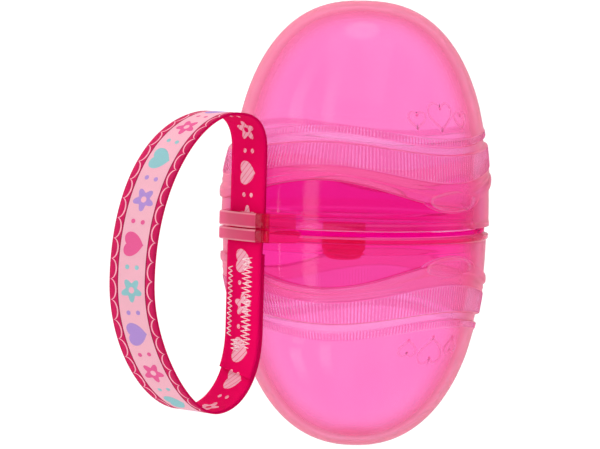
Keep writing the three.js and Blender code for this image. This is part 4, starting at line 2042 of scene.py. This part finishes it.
    def build(self) -> None:
        """Sets up the studio."""
        bpy.context.scene.view_settings.view_transform = "Standard"
        self.surroundings()
        self.floor()
        self.lamp()
        self.camera()


# Finishes of the case

CLEAR_PINK = ClearPlastic(
    name="clear_pink", tint=(1.0, 0.47, 0.76), deep=(0.99, 0.42, 0.72),
    upper_wall=(0.89, 0.085, 0.48), lower_wall=(0.96, 0.19, 0.58),
    # The tints for the roll's steps and for the dish on the next line are painted shade
    roll=(0.96, 0.28, 0.56), band=(0.99, 0.53, 0.82), crease_shade=(0.72, 0.02, 0.24), dish=(0.93, 0.27, 0.54),
    # The rib tint is painted shade between the ribs, and the last tint a painted highlight along the rims and
    # round the dish
    rib=(0.93, 0.22, 0.54), painted_highlight=(0.98, 0.5, 0.72),
    roughness=0.12, clearness=0.97, gloss=0.2,
)
BAND_PINK = replace(CLEAR_PINK, name="band_pink", clearness=0.78, gloss=0.06)
MARK_PINK = TintedPlastic(
    name="mark_pink", tint=(1.0, 0.32, 0.62), deep=(1.0, 0.28, 0.58), clearness=0.7, gloss=0.0,
)
LUG_PINK = TintedPlastic(
    name="lug_pink", tint=(0.82, 0.035, 0.2), deep=(0.8, 0.02, 0.17), clearness=0.88, gloss=0.1,
)
COLLAR_PINK = TintedPlastic(
    name="collar_pink", tint=(1.0, 0.74, 0.88), deep=(1.0, 0.7, 0.86), clearness=1.0, gloss=0.0, bend=1.02,
)
# The flange and the boss carry a painted glow, which lifts them where little light reaches between the rims
DEEP_PINK = TintedPlastic(
    name="deep_pink", tint=(0.78, 0.0, 0.24), deep=(0.76, 0.0, 0.2), clearness=0.75, painted_glow=0.1, gloss=0.05,
    bend=1.02,
)
SATIN_PINK = BrushedPlastic(
    # The highlight tint is painted along the lug's edges, and the pale tint is painted light towards the back
    name="satin_pink", tint=(0.74, 0.05, 0.18), pale=(0.86, 0.14, 0.29), painted_highlight=(1.0, 0.5, 0.6),
    roughness=0.45, clearness=0.4,
)
RIBBON_FACE = RibbonFace(
    name="ribbon_face", ground=(0.88, 0.45, 0.54), border=(0.62, 0.01, 0.1), line=(0.9, 0.43, 0.54),
    motifs=((0.44, 0.27, 0.64), (0.8, 0.11, 0.3), (0.28, 0.55, 0.58)),
    hollow=(0.72, 0.66, 0.68), specular=0.1, motif_rise=0.5,
)
RIBBON_BACK = RibbonBack(
    name="ribbon_back", ground=(0.78, 0.0, 0.105), ink=(0.9, 0.46, 0.57),
    hollow=(0.78, 0.7, 0.72), specular=0.02, motif_rise=0.0,
)
PALE_THREAD = Thread(name="pale_thread", colour=(0.98, 0.86, 0.86), shade=(0.8, 0.52, 0.58))

UPPER_CAP = Cap(Side.UPPER, "upper_shell", "upper_cap", bead_proud=0.0, lug_height=3.55 * MM)
LOWER_CAP = Cap(Side.LOWER, "lower_shell", "lower_cap", bead_proud=0.4 * MM, lug_height=3.05 * MM)


def main() -> None:
    """Builds the studio, the caps, the divider, the ribbon and its stitching, in that order."""
    logging.basicConfig(level=logging.INFO, format="%(message)s")
    Studio().build()
    finishes = [finish.build() for finish in (CLEAR_PINK, SATIN_PINK, LUG_PINK, MARK_PINK, BAND_PINK)]
    pieces = [cap.build(finishes) for cap in (UPPER_CAP, LOWER_CAP)]
    pieces.append(Divider().build(COLLAR_PINK.build(), DEEP_PINK.build()))
    ribbon = Ribbon()
    band = ribbon.build(RIBBON_FACE.build(), RIBBON_BACK.build())
    stitches = Stitching(ribbon).build(PALE_THREAD.build())
    ribbon.loop_length + ribbon.overlap
    for piece in [*pieces, band, stitches]:
        LOG.info("%s: %d faces", piece.name, len(piece.data.polygons))


if __name__ == "__main__":
    main()
